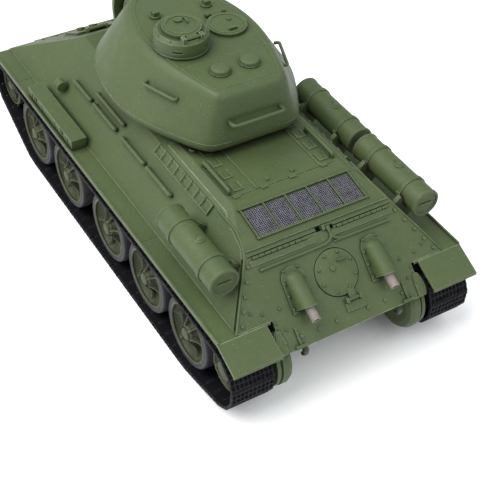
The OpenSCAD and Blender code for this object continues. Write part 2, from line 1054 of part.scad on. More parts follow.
module turret_shell() {
    color(green)
    difference() {
        union() {
            turret_form(0);
            translate([ring_x, 0, deck_z + 0.3])
                cylinder(r = ring_r + 2.3, h = 3, $fn = 96);
            translate([ring_x, 0, deck_z - 3.5])
                cylinder(r = ring_r - run_fit, h = 5, $fn = 96);
        }
        intersection() {
            turret_form(turret_wall);
            translate([-100, -50, 60])
                cube([102, 100, 50]);
        }
        translate([ring_x, 0, deck_z - 5])
            cylinder(r = ring_r - 3, h = 10);
        // seat, trunnion bores and travel slot of the gun
        translate([trunnion_x, 0, trunnion_z])
            y_rod(12, 24.6);
        translate([trunnion_x, -12.3, trunnion_z - 10.5])
            cube([40, 24.6, 24.5]);
        translate([trunnion_x, 0, trunnion_z])
            y_rod(2 + run_fit, 31);
        translate([-4, -6, trunnion_z - 6])
            cube([18, 12, 12]);
        // cupola seat and loader's opening
        translate([cupola_x, cupola_y, turret_roof_z - 6])
            cylinder(r = 10.6, h = 8);
        translate([loader_x, loader_y, turret_roof_z - 6])
            cylinder(r = 8.4, h = 8);
    }
}

module turret_fittings() {
    color(green) {
        // rear grab rail
        translate([-79, 0, 87]) {
            for (y = [-13, 13])
                translate([-3.4, y, 0])
                    x_rod(0.9, 4.5);
            translate([-3.4, 0, 0])
                y_rod(0.9, 27.8);
        }
        // grab rail on each side wall
        both_sides()
            translate([-58.6, 29.2, 91.5])
                rotate([0, 0, 20.4]) {
                    x_rod(0.8, 18.6);
                    for (foot = [[1.2, 1], [17.4, 2.4]])
                        translate([foot[0], 0, 0])
                            rotate([90, 0, 0])
                                cylinder(r = 0.7, h = foot[1]);
                }
        // ventilator domes at the back of the roof
        for (y = [-7.5, 7.5])
            translate([-60, y, turret_roof_z]) {
                cylinder(r = 4.6, h = 1.6);
                translate([0, 0, 1.6])
                    cylinder(r1 = 4.6, r2 = 2.4, h = 1);
            }
        // hinge ears of the loader's hatch
        translate([loader_x + 10.6, loader_y, turret_roof_z])
            difference() {
                for (y = [3.6, -5.2])
                    translate([-1, y, 0])
                        cube([2, 1.6, 2.2]);
                translate([0, 0, 1.1])
                    y_rod(0.6 + run_fit, 12);
            }
        // periscope heads
        for (p = [[-8, 12], [-10, -14]])
            translate([p[0], p[1], turret_roof_z]) {
                cylinder(r = 2.6, h = 1);
                translate([-1.4, -1.4, 1])
                    cube([2.8, 2.8, 2]);
            }
    }
}

module gun_mantlet() {
    color(green)
    translate([trunnion_x, 0, trunnion_z])
        difference() {
            union() {
                y_rod(11.7, 24);
                y_rod(2, 30);
                x_rod(9, 18);
                translate([17, 0, 0])
                    rotate([0, 90, 0])
                        cylinder(r1 = 9, r2 = 6.6, h = 15);
                intersection() {
                    difference() {
                        y_rod(17.8, 30);
                        y_rod(15.8, 32);
                    }
                    translate([10, -20, -9])
                        cube([20, 40, 18]);
                }
            }
            translate([-14, 0, 0])
                x_rod(barrel_r + run_fit, 60);
        }
}

module gun_barrel() {
    color(green)
    translate([0, 0, trunnion_z])
        difference() {
            union() {
                translate([16, 0, 0])
                    x_rod(barrel_r, 34);
                translate([50, 0, 0])
                    rotate([0, 90, 0])
                        cylinder(r1 = barrel_r - 0.4, r2 = 3.3, h = muzzle_x - 50);
            }
            translate([30, 0, 0])
                x_rod(gun_bore_d / 2, muzzle_x);
        }
}

module cupola() {
    color(green)
    translate([cupola_x, cupola_y, cupola_z])
        difference() {
            union() {
                cylinder(d = cupola_d, h = cupola_h - 1.5, $fn = 96);
                translate([0, 0, cupola_h - 1.5])
                    cylinder(d1 = cupola_d, d2 = cupola_d - 3, h = 1.5, $fn = 96);
                translate([0, 0, -3.2])
                    cylinder(r = 10.6 - run_fit, h = 4);
                for (y = [-4.4, 4.4])
                    translate([-11.4, y - 0.9, cupola_h - 1])
                        cube([2.6, 1.8, 2.9]);
            }
            translate([0, 0, -4])
                cylinder(r = 8.6, h = cupola_h + 6);
            translate([-10.2, 0, cupola_h + 0.9])
                y_rod(0.65, 16);
            // vision slits
            for (a = [0 : 72 : 288])
                rotate([0, 0, a])
                    translate([cupola_d / 2 - 1, -2.4, 3])
                        cube([2, 4.8, 1]);
        }
}

module cupola_hatch() {
    color(green)
    translate([cupola_x, cupola_y, cupola_z + cupola_h + 0.1]) {
        difference() {
            cylinder(r = 9, h = 1.5);
            translate([-12, -3.6, -1])
                cube([3.6, 7.2, 4]);
        }
        translate([-10.2, 0, 0.8])
            y_rod(0.8, 6.8);
        translate([-10.2, 0, 0.8])
            y_rod(0.6, 10.4);
        translate([-10, -2.4, 0.5])
            cube([3, 4.8, 1]);
        translate([3.5, 0, 1.5])
            cylinder(r = 1.6, h = 0.9);
    }
}

module loader_hatch() {
    color(green)
    translate([loader_x, loader_y, turret_roof_z + 0.1]) {
        cylinder(r = 9.4, h = 1.4);
        translate([10.6, 0, 1])
            y_rod(0.9, 6.8);
        translate([10.6, 0, 1])
            y_rod(0.6, 10.4);
        translate([8, -2.4, 0.6])
            cube([3, 4.8, 0.8]);
        translate([-6, -2, 1.4])
            cube([1, 4, 1.2]);
    }
}

// ---- drawing ----------------------------------------------------------------------
lower_hull();
upper_hull();
engine_deck();
rear_plate();
battery_cover();
grille_frame();
grille_mesh();
side_louvres();
exhaust_covers();
exhaust_pipes();
fenders();
mud_flaps();
fuel_drums();
drum_brackets();
toolbox();
hull_handrails();
headlight();
bow_gun();
axle_arms();
final_drives();
track_left();
track_right();
battery_pack();
control_board();
drive_units();
screws();
transmission_hatch();
driver_hatch();
wheel_node(1, 0, 0);  // road_wheel_l1
wheel_node(1, 1, 0);  // road_wheel_l2
wheel_node(1, 2, 0);  // road_wheel_l3
wheel_node(1, 3, 0);  // road_wheel_l4
wheel_node(1, 4, 0);  // road_wheel_l5
wheel_node(-1, 0, 0);  // road_wheel_r1
wheel_node(-1, 1, 0);  // road_wheel_r2
wheel_node(-1, 2, 0);  // road_wheel_r3
wheel_node(-1, 3, 0);  // road_wheel_r4
wheel_node(-1, 4, 0);  // road_wheel_r5
wheel_node(1, 0, 1);  // tyre_l1
wheel_node(1, 1, 1);  // tyre_l2
wheel_node(1, 2, 1);  // tyre_l3
wheel_node(1, 3, 1);  // tyre_l4
wheel_node(1, 4, 1);  // tyre_l5
wheel_node(-1, 0, 1);  // tyre_r1
wheel_node(-1, 1, 1);  // tyre_r2
wheel_node(-1, 2, 1);  // tyre_r3
wheel_node(-1, 3, 1);  // tyre_r4
wheel_node(-1, 4, 1);  // tyre_r5
gear_left("sprocket");  // sprocket_left
mirror([0, 1, 0]) gear_left("sprocket");  // sprocket_right
gear_left("idler");  // idler_left
mirror([0, 1, 0]) gear_left("idler");  // idler_right
turret_shell();
turret_fittings();
gun_mantlet();
gun_barrel();
cupola();
cupola_hatch();
loader_hatch();
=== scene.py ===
import math
import bpy
from mathutils import Matrix, Vector


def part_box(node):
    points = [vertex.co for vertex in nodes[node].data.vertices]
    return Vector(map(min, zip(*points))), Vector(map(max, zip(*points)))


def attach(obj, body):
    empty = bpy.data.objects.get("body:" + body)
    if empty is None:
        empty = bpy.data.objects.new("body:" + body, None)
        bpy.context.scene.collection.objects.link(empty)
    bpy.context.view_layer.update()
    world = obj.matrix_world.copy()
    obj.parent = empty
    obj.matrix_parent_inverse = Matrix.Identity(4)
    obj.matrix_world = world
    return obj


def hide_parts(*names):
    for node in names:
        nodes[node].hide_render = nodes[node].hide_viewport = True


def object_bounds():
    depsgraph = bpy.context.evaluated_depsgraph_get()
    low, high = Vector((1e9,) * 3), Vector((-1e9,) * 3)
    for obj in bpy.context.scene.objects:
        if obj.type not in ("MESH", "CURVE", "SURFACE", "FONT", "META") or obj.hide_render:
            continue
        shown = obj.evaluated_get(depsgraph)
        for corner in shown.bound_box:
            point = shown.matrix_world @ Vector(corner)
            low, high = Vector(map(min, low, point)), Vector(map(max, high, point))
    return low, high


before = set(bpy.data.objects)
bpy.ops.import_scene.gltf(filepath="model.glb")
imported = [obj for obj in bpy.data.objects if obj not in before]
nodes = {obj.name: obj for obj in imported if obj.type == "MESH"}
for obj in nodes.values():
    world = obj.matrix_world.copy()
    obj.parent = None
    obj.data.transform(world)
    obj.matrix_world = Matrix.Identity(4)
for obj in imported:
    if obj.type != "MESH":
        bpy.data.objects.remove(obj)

cad_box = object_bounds()
MM = 0.001
SIDES = (("left", "l", 1), ("right", "r", -1))


def mid(node):
    lo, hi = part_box(node)
    return (lo + hi) / 2 / MM


# ---- frames, in millimetres, as the frame's own plates lie ------------------
def rot(axis, degrees):
    return Matrix.Rotation(math.radians(degrees), 4, axis)


def move(x, y, z):
    return Matrix.Translation(Vector((x, y, z)))


MIRROR = Matrix.Diagonal((1, -1, 1, 1))
REAR = move(-133, 0, 62.5) @ rot("Y", -42)          # +X up the plate, +Z out of it
GLACIS = move(37, 0, 69) @ rot("Y", 30)             # +X down the plate, +Z out of it
SLOPE = move(-108.5, 0, 69) @ rot("Y", -math.degrees(math.atan(0.2)))
FLANK = move(0, 33.9, 66.4) @ rot("X", -50)         # +Y down the plate, +Z out of it


# ---- mesh building ------------------------------------------------------------
class Shape:
    """Collects vertices and faces in millimetres."""

    def __init__(self):
        self.verts, self.faces, self.mats = [], [], []
        self.slot = 0

    def add(self, verts, faces, m=None):
        n = len(self.verts)
        flip = m is not None and m.determinant() < 0
        for v in verts:
            p = Vector(v)
            self.verts.append(m @ p if m is not None else p)
        for f in faces:
            ids = [n + i for i in f]
            self.faces.append(ids[::-1] if flip else ids)
            self.mats.append(self.slot)
        return self

    def box(self, lo, hi, m=None):
        (a, b, c), (d, e, f) = lo, hi
        v = [(a, b, c), (d, b, c), (d, e, c), (a, e, c), (a, b, f), (d, b, f), (d, e, f), (a, e, f)]
        return self.add(v, [(0, 3, 2, 1), (4, 5, 6, 7), (0, 1, 5, 4), (1, 2, 6, 5), (2, 3, 7, 6),
            (3, 0, 4, 7)], m)

    def prism(self, outline, z0, z1, m=None):
        n = len(outline)
        v = [(x, y, z0) for x, y in outline] + [(x, y, z1) for x, y in outline]
        f = [tuple(range(n - 1, -1, -1)), tuple(range(n, 2 * n))]
        f += [(i, (i + 1) % n, n + (i + 1) % n, n + i) for i in range(n)]
        return self.add(v, f, m)

    def lathe(self, profile, seg=48, m=None):
        """profile: (radius, height) from the bottom up its outside, turned about Z."""
        v, rings = [], []
        for r, z in profile:
            if r <= 1e-6:
                rings.append([len(v)])
                v.append((0, 0, z))
            else:
                rings.append(list(range(len(v), len(v) + seg)))
                v += [(r * math.cos(2 * math.pi * i / seg), r * math.sin(2 * math.pi * i / seg), z)
                    for i in range(seg)]
        f = []
        for a, b in zip(rings, rings[1:]):
            for i in range(seg):
                j = (i + 1) % seg
                if len(a) == 1 and len(b) == 1:
                    continue
                if len(a) == 1:
                    f.append((a[0], b[j], b[i]))
                elif len(b) == 1:
                    f.append((a[i], a[j], b[0]))
                else:
                    f.append((a[i], a[j], b[j], b[i]))
        return self.add(v, f, m)

    def rod(self, r, length, m=None, seg=20, lip=0.12):
        lip = min(lip, r * 0.4, length * 0.2)
        return self.lathe([(0, 0), (r - lip, 0), (r, lip), (r, length - lip), (r - lip, length),
            (0, length)], seg, m)

    def dome(self, r, h, m=None, seg=12):
        pts = [(0, -0.2), (r, -0.2), (r, h * 0.25)]
        pts += [(r * math.cos(a), h * (0.25 + 0.75 * math.sin(a))) for a in (0.4, 0.8, 1.2)]
        return self.lathe(pts + [(0, h)], seg, m)

    def tube(self, points, r, m=None, seg=10, close=False, squash=1.0):
        pts = [Vector(p) for p in points]
        n = len(pts)
        tang = []
        for i in range(n):
            a = pts[(i - 1) % n] if close or i else pts[0]
            b = pts[(i + 1) % n] if close or i < n - 1 else pts[-1]
            tang.append((b - a).normalized())
        up = Vector((0, 0, 1)) if abs(tang[0].z) < 0.9 else Vector((1, 0, 0))
        v = []
        for i in range(n):
            t = tang[i]
            side = t.cross(up)
            side = side.normalized() if side.length > 1e-6 else Vector((0, 1, 0))
            up = side.cross(t).normalized()
            for k in range(seg):
                a = 2 * math.pi * k / seg
                v.append(pts[i] + side * r * math.cos(a) + up * r * squash * math.sin(a))
        f = []
        for i in range(n if close else n - 1):
            for k in range(seg):
                a, b = i * seg + k, i * seg + (k + 1) % seg
                c, d = ((i + 1) % n) * seg + (k + 1) % seg, ((i + 1) % n) * seg + k
                f.append((a, d, c, b))
        if not close:
            f += [tuple(range(seg)), tuple(range(n * seg - 1, (n - 1) * seg - 1, -1))]
        return self.add(v, f, m)

    def sheet(self, fn, nu, nv, m=None, wrap=False):
        v = [fn(i / nu, j / nv) for j in range(nv + 1) for i in range(nu if wrap else nu + 1)]
        w = nu if wrap else nu + 1
        f = [(j * w + i, j * w + (i + 1) % w, (j + 1) * w + (i + 1) % w, (j + 1) * w + i)
             for j in range(nv) for i in range(nu)]
        return self.add(v, f, m)

    def make(self, name, body, mats, replaces=(), slot=None, bevel=0.0, angle=35, segments=2):
        mesh = bpy.data.meshes.new(name)
        mesh.from_pydata([tuple(v * MM) for v in self.verts], [], self.faces)
        mesh.polygons.foreach_set("material_index", self.mats)
        mesh.polygons.foreach_set("use_smooth", [True] * len(self.faces))
        mesh.update()
        mesh.set_sharp_from_angle(angle=math.radians(angle))
        for mt in (mats if isinstance(mats, (list, tuple)) else [mats]):
            mesh.materials.append(mt)
        o = bpy.data.objects.new(name, mesh)
        bpy.context.scene.collection.objects.link(o)
        if bevel:
            b = o.modifiers.new("round", "BEVEL")
            b.width = bevel * MM
            b.segments = segments
            b.limit_method = "ANGLE"
            b.angle_limit = math.radians(angle)
            b.harden_normals = False
        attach(o, body)
        if replaces:
            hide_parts(*replaces)
        return o


def arc_path(points, radius, steps=6):
    """Polyline with its inner corners rounded."""
    pts = [Vector(p) for p in points]
    out = [pts[0]]
    for a, b, c in zip(pts, pts[1:], pts[2:]):
        r = min(radius, (a - b).length * 0.45, (c - b).length * 0.45)
        p, q = b + (a - b).normalized() * r, b + (c - b).normalized() * r
        for i in range(steps + 1):
            t = i / steps
            out.append((1 - t) ** 2 * p + 2 * t * (1 - t) * b + t * t * q)
    return out + [pts[-1]]


# ---- materials ---------------------------------------------------------------
class Nodes:
    """Small helper for building a material's node tree."""

    def __init__(self, name):
        self.mat = bpy.data.materials.new(name)
        self.mat.use_nodes = True
        self.tree = self.mat.node_tree
        self.bsdf = self.tree.nodes["Principled BSDF"]
        self.coord = self.tree.nodes.new("ShaderNodeTexCoord").outputs["Object"]

    def node(self, kind, **values):
        n = self.tree.nodes.new("ShaderNode" + kind)
        for k, v in values.items():
            setattr(n, k, v)
        return n

    def link(self, a, b):
        self.tree.links.new(a, b)
        return self

    def noise(self, scale, detail=3, rough=0.5, stretch=None):
        n = self.node("TexNoise")
        n.inputs["Scale"].default_value = scale
        n.inputs["Detail"].default_value = detail
        n.inputs["Roughness"].default_value = rough
        src = self.coord
        if stretch:
            mp = self.node("Mapping")
            mp.inputs["Scale"].default_value = stretch
            self.link(src, mp.inputs["Vector"])
            src = mp.outputs["Vector"]
        self.link(src, n.inputs["Vector"])
        return n.outputs["Fac"]

    def ramp(self, fac, lo, hi, a=0.0, b=1.0):
        n = self.node("MapRange", clamp=True)
        for k, v in (("From Min", lo), ("From Max", hi), ("To Min", a), ("To Max", b)):
            n.inputs[k].default_value = v
        self.link(fac, n.inputs["Value"])
        return n.outputs["Result"]

    def math(self, op, a, b):
        n = self.node("Math", operation=op)
        for i, x in enumerate((a, b)):
            if isinstance(x, (int, float)):
                n.inputs[i].default_value = x
            else:
                self.link(x, n.inputs[i])
        return n.outputs["Value"]

    def mix(self, fac, a, b, blend="MIX"):
        n = self.node("Mix", data_type="RGBA", blend_type=blend)
        for socket, x in ((n.inputs["Factor"], fac), (n.inputs[6], a), (n.inputs[7], b)):
            if isinstance(x, (int, float)):
                socket.default_value = x
            elif isinstance(x, tuple):
                socket.default_value = (*x, 1)
            else:
                self.link(x, socket)
        return n.outputs[2]

    def edges(self, radius, lo=0.03, hi=0.2):
        """1 along outer edges, from the difference between the rounded and the plain normal."""
        bev = self.node("Bevel", samples=6)
        bev.inputs["Radius"].default_value = radius
        geo = self.node("NewGeometry")
        dot = self.node("VectorMath", operation="DOT_PRODUCT")
        self.link(bev.outputs["Normal"], dot.inputs[0])
        self.link(geo.outputs["Normal"], dot.inputs[1])
        return self.ramp(self.math("SUBTRACT", 1.0, dot.outputs["Value"]), lo, hi)

    # ambient occlusion mask for the painted shade in hollows and corners
    def hollow_shade(self, distance, lo=0.35, hi=0.9):
        ao = self.node("AmbientOcclusion", samples=6)
        ao.inputs["Distance"].default_value = distance
        return self.ramp(ao.outputs["AO"], lo, hi)

    def bump(self, height, strength, distance=0.0002, normal=None):
        b = self.node("Bump")
        b.inputs["Strength"].default_value = strength
        b.inputs["Distance"].default_value = distance
        self.link(height, b.inputs["Height"])
        if normal:
            self.link(normal, b.inputs["Normal"])
        self.link(b.outputs["Normal"], self.bsdf.inputs["Normal"])
        return b.outputs["Normal"]


def paint(name, base, light, dark, wear_and_highlight=0.6, rough=0.55, grain=0.12, edge=0.0004, depth=0.004):
    n = Nodes(name)
    col = n.mix(n.ramp(n.noise(45, 4, 0.6), 0.35, 0.7), base,
        tuple(c * k for c, k in zip(base, (1.16, 1.08, 1.05))))
    col = n.mix(n.ramp(n.noise(420, 3, 0.6), 0.45, 0.8, 0, 0.35), col, tuple(c * 0.82 for c in base))
    # light colour on every outer edge, on top of the mottling: partly rubbed wear, partly a painted
    # highlight where rounded edges catch light
    worn_and_lit = n.math("MULTIPLY", n.edges(edge), n.ramp(n.noise(260, 3, 0.6), 0.3, 0.62, 0.25, 1))
    col = n.mix(n.math("MULTIPLY", worn_and_lit, wear_and_highlight), col, light)
    col = n.mix(n.ramp(n.noise(1500, 2), 0.66, 0.74, 0, 0.35 * wear_and_highlight), col, light)
    # painted shade: the colour darkens in hollows, corners and under parts, from ambient occlusion
    shade = n.hollow_shade(depth)
    col = n.mix(n.math("MULTIPLY", n.math("SUBTRACT", 1.0, shade), 0.8), col, dark)
    n.link(col, n.bsdf.inputs["Base Color"])
    n.link(n.ramp(n.noise(150, 3), 0.2, 0.8, rough - 0.07, rough + 0.1), n.bsdf.inputs["Roughness"])
    n.bsdf.inputs["Specular IOR Level"].default_value = 0.32
    n.bump(n.noise(2600, 3, 0.6), grain, 0.00012)
    return n.mat


def metal(name, base, light, rough=0.45, metallic=0.7, wear_and_highlight=0.7, grain=0.2, edge=0.0003, scale=600,
    gloss=0.5):
    n = Nodes(name)
    col = n.mix(n.ramp(n.noise(scale * 0.3, 4, 0.65), 0.35, 0.7), base, tuple(c * 0.65 for c in base))
    # light colour on outer edges: partly rubbed wear, partly a painted highlight where rounded edges catch
    # light
    worn_and_lit = n.math("MULTIPLY", n.edges(edge, 0.03, 0.25),
        n.ramp(n.noise(scale * 0.7, 3, 0.6), 0.3, 0.6, 0.15, 1))
    col = n.mix(n.math("MULTIPLY", worn_and_lit, wear_and_highlight), col, light)
    n.link(col, n.bsdf.inputs["Base Color"])
    n.bsdf.inputs["Metallic"].default_value = metallic
    n.bsdf.inputs["Specular IOR Level"].default_value = gloss
    n.link(n.ramp(n.noise(scale, 3), 0.2, 0.8, rough - 0.08, rough + 0.12), n.bsdf.inputs["Roughness"])
    n.bump(n.noise(scale * 4, 3, 0.6), grain, 0.00012)
    return n.mat


GREEN = (0.043, 0.065, 0.0225)
LIGHT = (0.27, 0.33, 0.22)
SHADE_DARK = (0.004, 0.006, 0.002)
m_hull = paint("hull_paint", GREEN, LIGHT, SHADE_DARK, wear_and_highlight=0.75)
m_cast = paint("cast_paint", GREEN, LIGHT, SHADE_DARK, wear_and_highlight=0.75, grain=0.3, rough=0.5, edge=0.0009)
m_detail = paint("detail_paint", tuple(c * 1.04 for c in GREEN), (0.30, 0.38, 0.24), SHADE_DARK, wear_and_highlight=0.85,
    edge=0.00025)
# wheels: darker green than the hull, with a wider reach of the painted hollow shade in the dishes
m_wheel = paint("wheel_paint", (0.027, 0.037, 0.011), (0.28, 0.34, 0.20), (0.002, 0.003, 0.001),
    wear_and_highlight=1.0, depth=0.010)
m_belly = paint("belly_paint", (0.030, 0.040, 0.020), (0.12, 0.15, 0.09), (0.004, 0.006, 0.003),
    wear_and_highlight=0.4)
m_tyre = metal("tyre_rubber", (0.040, 0.040, 0.045), (0.32, 0.32, 0.36), rough=0.62, metallic=0.0,
    wear_and_highlight=0.9, gloss=0.2)
m_track = metal("track_black", (0.0035, 0.0035, 0.0045), (0.12, 0.12, 0.15), rough=0.62, metallic=0.0,
    wear_and_highlight=0.6, gloss=0.1)
m_mesh = metal("mesh_wire", (0.075, 0.078, 0.092), (0.30, 0.31, 0.35), rough=0.45, metallic=0.4)
m_pipe = metal("pipe_metal", (0.19, 0.165, 0.140), (0.46, 0.43, 0.39), rough=0.55, metallic=0.1,
    scale=900)
# near-black used as painted shade: the grille opening, the open joints and holes of the rear plate, the
# open cowl ends and the exhaust bores
m_shade_black = metal("painted_shade_black", (0.0015, 0.0015, 0.0015), (0.008, 0.008, 0.008), rough=0.9, metallic=0.0,
    gloss=0.05)
m_steel = metal("gear_steel", (0.25, 0.26, 0.27), (0.6, 0.6, 0.62), rough=0.35, metallic=0.9)
m_wrap = metal("cell_wrap", (0.03, 0.06, 0.22), (0.1, 0.15, 0.4), rough=0.3, metallic=0.0, grain=0.05)
m_board = metal("board_green", (0.015, 0.10, 0.045), (0.1, 0.3, 0.15), rough=0.35, metallic=0.0,
    grain=0.05)
m_glass = metal("lens_glass", (0.02, 0.025, 0.03), (0.25, 0.28, 0.3), rough=0.08, metallic=0.0,
    wear_and_highlight=0.3, grain=0.02)

# ---- camera, floor and light, in metres ---------------------------------------
CAMERA_PLACE = (-0.4150, 0.2235, 0.3868)
CAMERA_FORWARD = (0.6043, -0.4040, -0.6867)
CAMERA_RIGHT = (-0.5199, -0.8531, 0.0444)
LENS_MM = 82.25
SENSOR_MM = 36
FLOOR_HALF = 6
FLOOR_GAP = 0.0001
KEY_PLACE, KEY_SIZE, KEY_POWER = (0.15, 0.70, 1.15), 1.5, 31
BACK_PLACE, BACK_SIZE, BACK_POWER = (-0.9, -0.35, 1.0), 1.0, 7
SKY_COLOUR = (0.96, 0.98, 1, 1)
SKY_STRENGTH = 0.72


def look_matrix(place, forward, right):
    f = Vector(forward).normalized()
    r = Vector(right)
    r = (r - f * r.dot(f)).normalized()
    u = r.cross(f)
    m = Matrix((r, u, -f)).transposed().to_4x4()
    m.translation = Vector(place)
    return m


cam_data = bpy.data.cameras.new("camera")
cam = bpy.data.objects.new("camera", cam_data)
bpy.context.scene.collection.objects.link(cam)
cam_data.lens = LENS_MM
cam_data.sensor_width = SENSOR_MM
cam_data.clip_start = 0.02
cam_data.clip_end = 20
cam.matrix_world = look_matrix(CAMERA_PLACE, CAMERA_FORWARD, CAMERA_RIGHT)
bpy.context.scene.camera = cam

fl = Nodes("floor_white")
fl.link(fl.mix(fl.ramp(fl.noise(3, 2), 0.3, 0.7), (0.93, 0.935, 0.94), (0.90, 0.905, 0.91)),
    fl.bsdf.inputs["Base Color"])
fl.bsdf.inputs["Roughness"].default_value = 0.55
fl.bump(fl.noise(900, 2), 0.03, 0.0001)
floor_mesh = bpy.data.meshes.new("floor")
corners = [(x * FLOOR_HALF, y * FLOOR_HALF, 0) for x, y in ((-1, -1), (1, -1), (1, 1), (-1, 1))]
floor_mesh.from_pydata(corners, [], [(0, 1, 2, 3)])
floor_mesh.materials.append(fl.mat)
floor = bpy.data.objects.new("floor", floor_mesh)
floor.location.z = cad_box[0][2] - FLOOR_GAP
bpy.context.scene.collection.objects.link(floor)


def area_light(name, place, size, power, color=(1, 1, 1), target=(-0.06, 0, 0.04)):
    d = bpy.data.lights.new(name, "AREA")
    d.shape = "DISK"
    d.size = size
    d.energy = power
    d.color = color
    o = bpy.data.objects.new(name, d)
    bpy.context.scene.collection.objects.link(o)
    o.location = place
    o.rotation_euler = (Vector(target) - Vector(place)).to_track_quat("-Z", "Y").to_euler()
    return o


area_light("key", KEY_PLACE, KEY_SIZE, KEY_POWER, (1, 0.99, 0.97))
area_light("back", BACK_PLACE, BACK_SIZE, BACK_POWER, (0.97, 0.99, 1))
world = bpy.data.worlds.new("world")
bpy.context.scene.world = world
world.use_nodes = True
world.node_tree.nodes["Background"].inputs["Color"].default_value = SKY_COLOUR
world.node_tree.nodes["Background"].inputs["Strength"].default_value = SKY_STRENGTH
bpy.context.scene.view_settings.view_transform = "Standard"


# ---- running gear -------------------------------------------------------------
def wheel_frame(x, z, sign):
    """Local Z runs outward along the axle, local origin on the vehicle's centreline."""
    return (MIRROR if sign < 0 else Matrix.Identity(4)) @ move(x, 0, z) @ rot("X", -90)


def dish(s, m, r_out, hub_r, face, depth, ribs, rib_w, holes, hole_at, hole_r, seg=120, rings=22):
    """Pressed wheel face: a bowl with raised ribs and sunken lightening holes."""
    def height(r, a):
        t = (r - hub_r) / (r_out - hub_r)
        y = face - depth * (math.sin(math.pi * min(max(t, 0), 1)) ** 0.6)
        k = (a * ribs / (2 * math.pi)) % 1.0
        off = abs(k - 0.5) * 2 * math.pi / ribs * r
        rib = max(0.0, 1 - (off / rib_w) ** 4) * (0.86 * depth) * (1 - t) ** 0.35 * (1 if t > 0 else 0)
        y += rib
        kh = (a * holes / (2 * math.pi) + 0.5) % 1.0 if holes == ribs else (a * holes / (2 * math.pi)) % 1.0
        dh = math.hypot(abs(kh - 0.5) * 2 * math.pi / holes * r, r - hole_at)
        if dh < hole_r:
            y -= 1.6 * min(1, (hole_r - dh) / 0.35)
        return y

    def fn(u, v):
        a = 2 * math.pi * u
        r = hub_r + (r_out - hub_r) * v
        return (r * math.cos(a), r * math.sin(a), height(r, a))
    s.sheet(lambda u, v: fn(u, 1 - v), seg, rings, m, wrap=True)


